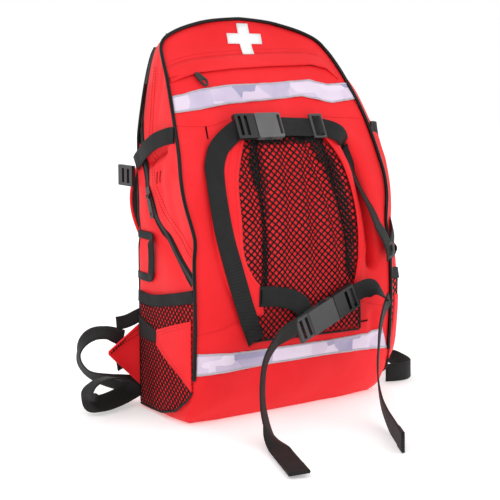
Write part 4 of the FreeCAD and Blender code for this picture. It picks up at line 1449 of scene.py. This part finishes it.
def build_arm_tie():
    """Webbing that comes round the right wall and meets the arch strap's thin end."""
    path = [(162, -45, 262), (167, -62, 252), (170, -80, 236), (163, -98, 219),
            (151, -110, 206), (142, -117, 199)]
    line = even(spline(path), 3.0)
    share = np.linspace(0, 1, len(line))[:, None]
    normals = np.array([1.0, -0.4, 0.2]) * (1 - share) + np.array([0.5, -0.9, 0.1]) * share
    strap("arm_tie_webbing", line, normals, 15.0, "root", spacing=0)
    ring = [np.array([math.cos(t) * 5.0, 0.0, math.sin(t) * 9.0])
            for t in np.linspace(0, 2 * math.pi, 25)[:-1]]
    points = np.array([140.0, -119.5, 196.0]) + np.array(ring)
    normals = unit(np.array(ring))
    piece = sweep("arm_tie_ring", points, normals, round_section(2.0, 8), "buckle_plastic", closed=True)
    dress(piece, "root", "buckle_plastic")


def build_anchor(side, word):
    """The triangular wing at the lower rear corner and the waist tab above it."""
    apex = np.array([side * 191.0, 36.0, 72.0])
    upper = np.array([side * 140.0, 30.0, 114.0])
    lower = np.array([side * 140.0, 30.0, 17.0])
    rows, columns = 17, 15
    surface = np.zeros((rows, columns, 3))
    for r in range(rows):
        edge = lower + (upper - lower) * r / (rows - 1)
        tip = apex + np.array([0, 0, (r / (rows - 1) - 0.5) * 3.0])
        for c in range(columns):
            t = c / (columns - 1)
            p = edge * (1 - t) + tip * t
            p[1] += 3.5 * math.sin(math.pi * t) * math.sin(math.pi * r / (rows - 1))
            surface[r, c] = p
    if side < 0:
        surface = surface[:, ::-1]
    piece = sheet_piece("anchor_wing_" + word, surface, 2.6, "red_fabric", 1)
    dress(piece, "root", "red_fabric", *(["anchor_wings"] if side < 0 else []))
    lines = []
    for inset in (0.06, 0.16):
        line = even([upper * (1 - t) + apex * t - (upper - lower) * inset * (1 - t)
                     for t in np.linspace(0.04, 0.92, 12)], 3.0)
        lines.append((line + np.array([0, -1.7, 0]), facing((0.0, -1.0, 0.0), line)))
    tack = even([upper * (1 - t) + apex * t - (upper - lower) * 0.03 for t in (0.55, 0.94)], 2.0)
    lines += [(tack + np.array([0, -1.9, h]), facing((0.0, -1.0, 0.0), tack))
              for h in (-0.7, 0.0, 0.7)]
    stitches("anchor_wing_stitching_" + word, lines, "black_thread", slot="red_fabric", height=0.4)

    low, high = node_box("waist_tabs")
    middle = (low[2] + high[2]) / 2
    path = [(side * 136, 33, middle + 12), (side * 146, 37, middle + 8), (side * 158, 40, middle + 2),
            (side * 168, 41, middle), (side * 176, 41, middle)]
    line = even(spline(path), 3.0)
    normals = facing((0.1 * side, -1.0, 0.15), line)
    strap("waist_tab_" + word, line, normals, 17.0, "root", spacing=0, thickness=2.4,
          nodes=["waist_tabs"] if side < 0 else [])


# ---- wearer's side -------------------------------------------------------------------
def build_back_padding():
    """Quilted back pad: foam channels between sewn lines, bound at its edge."""
    low, high = node_box("back_padding")
    columns, rows = 53, 93
    depth = high[1] - low[1]
    surface = np.zeros((rows, columns, 3))
    channels = [0.0, 0.30, 0.5, 0.70, 1.0]
    for r in range(rows):
        v = r / (rows - 1)
        for c in range(columns):
            u = c / (columns - 1)
            corner = 24.0
            x = low[0] + (high[0] - low[0]) * u
            z = low[2] + (high[2] - low[2]) * v
            edge = min(x - low[0], high[0] - x, z - low[2], high[2] - z)
            pad = 1 - math.exp(-max(0.0, edge) / 9.0)
            seam = min(abs(u - s) for s in channels[1:-1]) * (high[0] - low[0])
            level = min(abs(v - s) for s in (0.2, 0.4, 0.6, 0.8)) * (high[2] - low[2])
            quilt = ((1 - 0.75 * math.exp(-(seam / 5.0) ** 2))
                     * (1 - 0.45 * math.exp(-(level / 5.0) ** 2)))
            reach = min(1.0, edge / 2.0)
            surface[r, c] = (x, low[1] + 0.6 + (depth + 3.0) * pad * quilt * reach, z)
            dx = max(0.0, corner - (x - low[0]), corner - (high[0] - x))
            dz = max(0.0, corner - (z - low[2]), corner - (high[2] - z))
            if dx > 0 and dz > 0 and math.hypot(dx, dz) > corner:
                pull = corner / math.hypot(dx, dz)
                cx = low[0] + corner if x < 0 else high[0] - corner
                cz = low[2] + corner if z < 200 else high[2] - corner
                surface[r, c] = (cx + (x - cx) * pull, low[1] + 0.6, cz + (z - cz) * pull)
    flat = surface.copy()
    flat[..., 1] = low[1] - 0.4
    count = rows * columns
    points = np.vstack([surface.reshape(-1, 3), flat.reshape(-1, 3)])
    faces = [f[::-1] for f in grid_faces(rows, columns)] + grid_faces(rows, columns, count)
    ids = np.arange(count).reshape(rows, columns)
    rim = loop_of(ids)
    for k, a in enumerate(rim):
        b = rim[(k + 1) % len(rim)]
        faces.append((a, b, b + count, a + count))
    uvs = np.vstack([surface.reshape(-1, 3)[:, (0, 2)]] * 2)
    piece = add_piece("back_padding", points, faces, "back_mesh", uvs)
    held = np.zeros(len(points))
    held[count:] = 1.0
    held[rim] = 1.0
    u = (points[:, 0] - low[0]) / (high[0] - low[0])
    v = (points[:, 2] - low[2]) / (high[2] - low[2])
    for s in channels[1:-1]:
        held[np.abs(u - s) < 0.011] = 1.0
    for s in (0.2, 0.4, 0.6, 0.8):
        held[np.abs(v - s) < 0.006] = 0.7
    soften(piece, held, pressure=3.0, cap=4.0)
    modify(piece, "SUBSURF", levels=1, render_levels=1)
    dress(piece, "root", "back_mesh", "back_padding")
    edge = surface.reshape(-1, 3)[rim]
    edge = np.vstack([edge, edge[:1]])
    line = even(edge, 4.0)[:-1]
    normals = facing((0.0, 1.0, 0.0), line)
    trim = sweep("back_padding_binding", line + np.array([0, 0.6, 0]), normals,
                 round_section(2.6, 8, 0.7),
                 "black_webbing", closed=True)
    dress(trim, "root", "black_webbing")


def strap_centre(z):
    cy, cz, r = circle_through((60, 432), (86, 300), (68, 150))
    y = cy + math.sqrt(max(0.0, r * r - (z - cz) ** 2))
    x = (79.0 + 22.0 * math.exp(-((z - 258.0) / 50.0) ** 2)
         - 13.0 * min(1.0, max(0.0, (z - 330.0) / 100.0)))
    return x, y


def build_harness(side, word):
    """A padded strap: foam between fabric, thin at its bound edges, quilted across."""
    body = "harness_" + word
    low, high = node_box("shoulder_strap_" + word)
    heights = np.linspace(high[2] - 1.0, low[2] + 0.5, 60)
    centres = np.array([(side * strap_centre(z)[0], strap_centre(z)[1], z) for z in heights])
    along = tangents(centres)
    outward = unit(np.cross(along, np.array([1.0, 0, 0])))
    outward *= np.sign(outward[:, 1:2])
    ring, count = 24, len(centres)
    across = unit(np.cross(outward, along))
    points = []
    for k in range(count):
        end = min(k, count - 1 - k)
        width = 27.0 * (1 - 0.25 * math.exp(-end / 2.5))
        thick = (5.6 * (1 - 0.5 * math.exp(-end / 2.0))
                 * (1 - 0.35 * math.exp(-((k % 12 - 6) / 1.0) ** 2)))
        for j in range(ring):
            t = 2 * math.pi * j / ring
            a = math.copysign(abs(math.cos(t)) ** 0.75, math.cos(t)) * width
            b = math.copysign(abs(math.sin(t)) ** 0.6, math.sin(t)) * thick
            points.append(centres[k] + across[k] * a + outward[k] * b)
    faces = [(r * ring + j, r * ring + (j + 1) % ring,
              (r + 1) * ring + (j + 1) % ring, (r + 1) * ring + j)
             for r in range(count - 1) for j in range(ring)]
    faces += [tuple(range(ring))[::-1], tuple((count - 1) * ring + j for j in range(ring))]
    points = np.array(points)
    uvs = np.stack([np.tile(np.linspace(0, 130, ring), count),
                    np.repeat(travelled(centres), ring)], 1)
    piece = add_piece("shoulder_strap_" + word, points, faces, "red_padding", uvs)
    piece.data.materials.append(MATERIALS["back_mesh"])
    for polygon in piece.data.polygons:
        middle = np.array(polygon.center) / MM
        nearest = int(np.argmin(np.abs(centres[:, 2] - middle[2])))
        if (middle - centres[nearest]) @ outward[nearest] < -1.0:
            polygon.material_index = 1
    held = np.zeros(len(points))
    for k in range(count):
        if k % 12 == 6 or k in (0, count - 1):
            held[k * ring:(k + 1) * ring] = 1.0
        held[[k * ring, k * ring + ring // 2]] = 1.0
    soften(piece, held, pressure=2.5, cap=2.5)
    modify(piece, "SUBSURF", levels=1, render_levels=1)
    dress(piece, body, "red_padding", "shoulder_strap_" + word)
    for sign, edge in ((1, "outer"), (-1, "inner")):
        line = centres + across * sign * 27.0
        trim = sweep("strap_binding_%s_%s" % (edge, word), line, outward,
                     round_section(2.2, 8), "red_padding")
        dress(trim, body, "red_padding")
    line = centres[4:-1] + outward[4:-1] * 6.9
    rail = sweep("strap_rail_" + word, line, outward[4:-1], strap_section(WEB - 4, 1.6),
                 "black_webbing")
    dress(rail, body, "black_webbing")


def build_adjuster(side, word):
    """Webbing from the strap's ladder-lock to the wing, with its own slack."""
    low, high = node_box("strap_lock_" + word)
    start = np.array([(low[0] + high[0]) / 2, (low[1] + high[1]) / 2, low[2] + 6.0])
    end = np.array([side * 150.0, 50.0, 62.0])
    path = [start + (0, 0, 14), start, start * 0.7 + end * 0.3 + (0, -2, -6),
            start * 0.35 + end * 0.65 + (0, -3, -9),
            end, end + (side * 26, -8, -6)]
    line = even(spline([tuple(p) for p in path]), 4.0)
    normals = facing((0.0, 1.0, 0.1), line)
    piece = sweep("adjuster_webbing_" + word, line, normals, strap_section(WEB - 2, 1.7),
                  "black_webbing")
    if side < 0:
        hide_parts("adjuster_webbing")
    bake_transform(piece)


def build_yoke_join(side, word):
    """Webbing sewn to the yoke above and to the shoulder strap below."""
    top = np.array([side * 64.0, 51.5, 456.0])
    x, y = strap_centre(420.0)
    foot = np.array([side * x, y + 8.5, 416.0])
    line = even(spline([tuple(top), tuple(top * 0.6 + foot * 0.4 + (0, 6, 0)), tuple(foot)]), 3.0)
    normals = facing((0.0, 0.9, 0.4), line)
    piece = sweep("yoke_join_" + word, line, normals, strap_section(WEB + 6, 1.8), "black_webbing")
    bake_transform(piece)


def build_top():
    low, high = node_box("strap_yoke")
    rows, columns = 13, 41
    surface = np.zeros((rows, columns, 3))
    for r in range(rows):
        for c in range(columns):
            u, v = c / (columns - 1), r / (rows - 1)
            edge = min(u, 1 - u) * (high[0] - low[0])
            crown = 1 - math.exp(-min(edge, min(v, 1 - v) * (high[2] - low[2])) / 4.0)
            surface[r, c] = (high[0] + (low[0] - high[0]) * u,
                             low[1] + 1 + (high[1] - low[1]) * crown * 0.95,
                             low[2] + (high[2] - low[2]) * v)
    piece = sheet_piece("strap_yoke", surface, 1.6, "black_webbing")
    dress(piece, "root", "black_webbing", "strap_yoke")
    low, high = node_box("handle_anchor")
    surface = np.array([[(high[0] + (low[0] - high[0]) * c / 14, high[1] - 1.0,
                          low[2] + (high[2] - low[2]) * r / 6)
                         for c in range(15)] for r in range(7)])
    piece = sheet_piece("handle_anchor", surface, 1.8, "black_webbing")
    dress(piece, "root", "black_webbing", "handle_anchor")
    rows = []
    for x in (-27.0, 27.0):
        square = [(x - 5, low[2] + 3), (x + 5, low[2] + 3), (x + 5, high[2] - 3), (x - 5, high[2] - 3),
                  (x - 5, low[2] + 3), (x + 5, high[2] - 3)]
        line = even(square, 2.0)
        rows.append((np.stack([line[:, 0], np.full(len(line), high[1] + 0.1), line[:, 1]], 1),
                     facing((0.0, 1.0, 0.0), line)))
    stitches("handle_anchor_stitching", rows, "black_thread", height=0.4)

    low, high = node_box("grab_handle")
    y = (low[1] + high[1]) / 2
    path = [(-27, y, high[2] - 1), (-27, y, high[2] - 14), (-27, y, low[2] + 16), (-24, y, low[2] + 7),
            (-12, y, low[2] + 6),
            (0, y, low[2] + 6), (12, y, low[2] + 6), (24, y, low[2] + 7), (27, y, low[2] + 16),
            (27, y, high[2] - 14),
            (27, y, high[2] - 1)]
    line = even(spline(path), 2.5)
    normals = facing((0.0, 1.0, 0.0), line)
    strap("grab_handle", line, normals, 9.5, "handle", spacing=0, thickness=3.6, nodes=["grab_handle"])
    grip = np.stack([np.linspace(-20, 20, 21), np.full(21, y), np.full(21, low[2] + 6.0)], 1)
    section = np.array(round_section(5.7, 14, 0.95))
    piece = sweep("handle_grip", grip, facing((0, 1, 0), grip), section, "black_elastic")
    dress(piece, "handle", "black_webbing")


# ---- parts whose CAD shape is right --------------------------------------------------
# The ladder-locks get the darker copy of the buckle plastic as painted shade; the buckles' male halves
# share it
# The upper buckle's female half gets the lighter copy of the buckle plastic, a painted highlight
FINISHES = {"upper_buckle_female": "highlit_plastic", "upper_buckle_male": "dark_and_shaded_plastic",
            "lower_buckle_male": "dark_and_shaded_plastic", "ladder_lock_left": "dark_and_shaded_plastic",
            "ladder_lock_right": "dark_and_shaded_plastic"}


def paint_cad_nodes():
    slots = {p["node"]: p["material_slot"] for p in frame["record"]["subparts"]}
    for name, shown in frame["nodes"].items():
        if shown.hide_render:
            continue
        finish = MATERIALS[FINISHES.get(name, slots[name])]
        if not shown.material_slots:
            shown.data.materials.append(finish)
        for place in shown.material_slots:
            place.material = finish


build_view()
MATERIALS = build_materials()
build_cords()
build_shell()
build_piping()
build_main_zip()
build_bands()
build_cross()
build_pocket_zip()
build_front_mesh()
build_wings()
build_front_straps()
build_bartacks()
for SIDE, WORD in ((-1, "left"), (1, "right")):
    build_pocket(SIDE, WORD)
    build_side_straps(SIDE, WORD)
    build_anchor(SIDE, WORD)
    build_harness(SIDE, WORD)
    build_adjuster(SIDE, WORD)
    build_yoke_join(SIDE, WORD)
build_arm_tie()
build_back_padding()
build_top()
paint_cad_nodes()
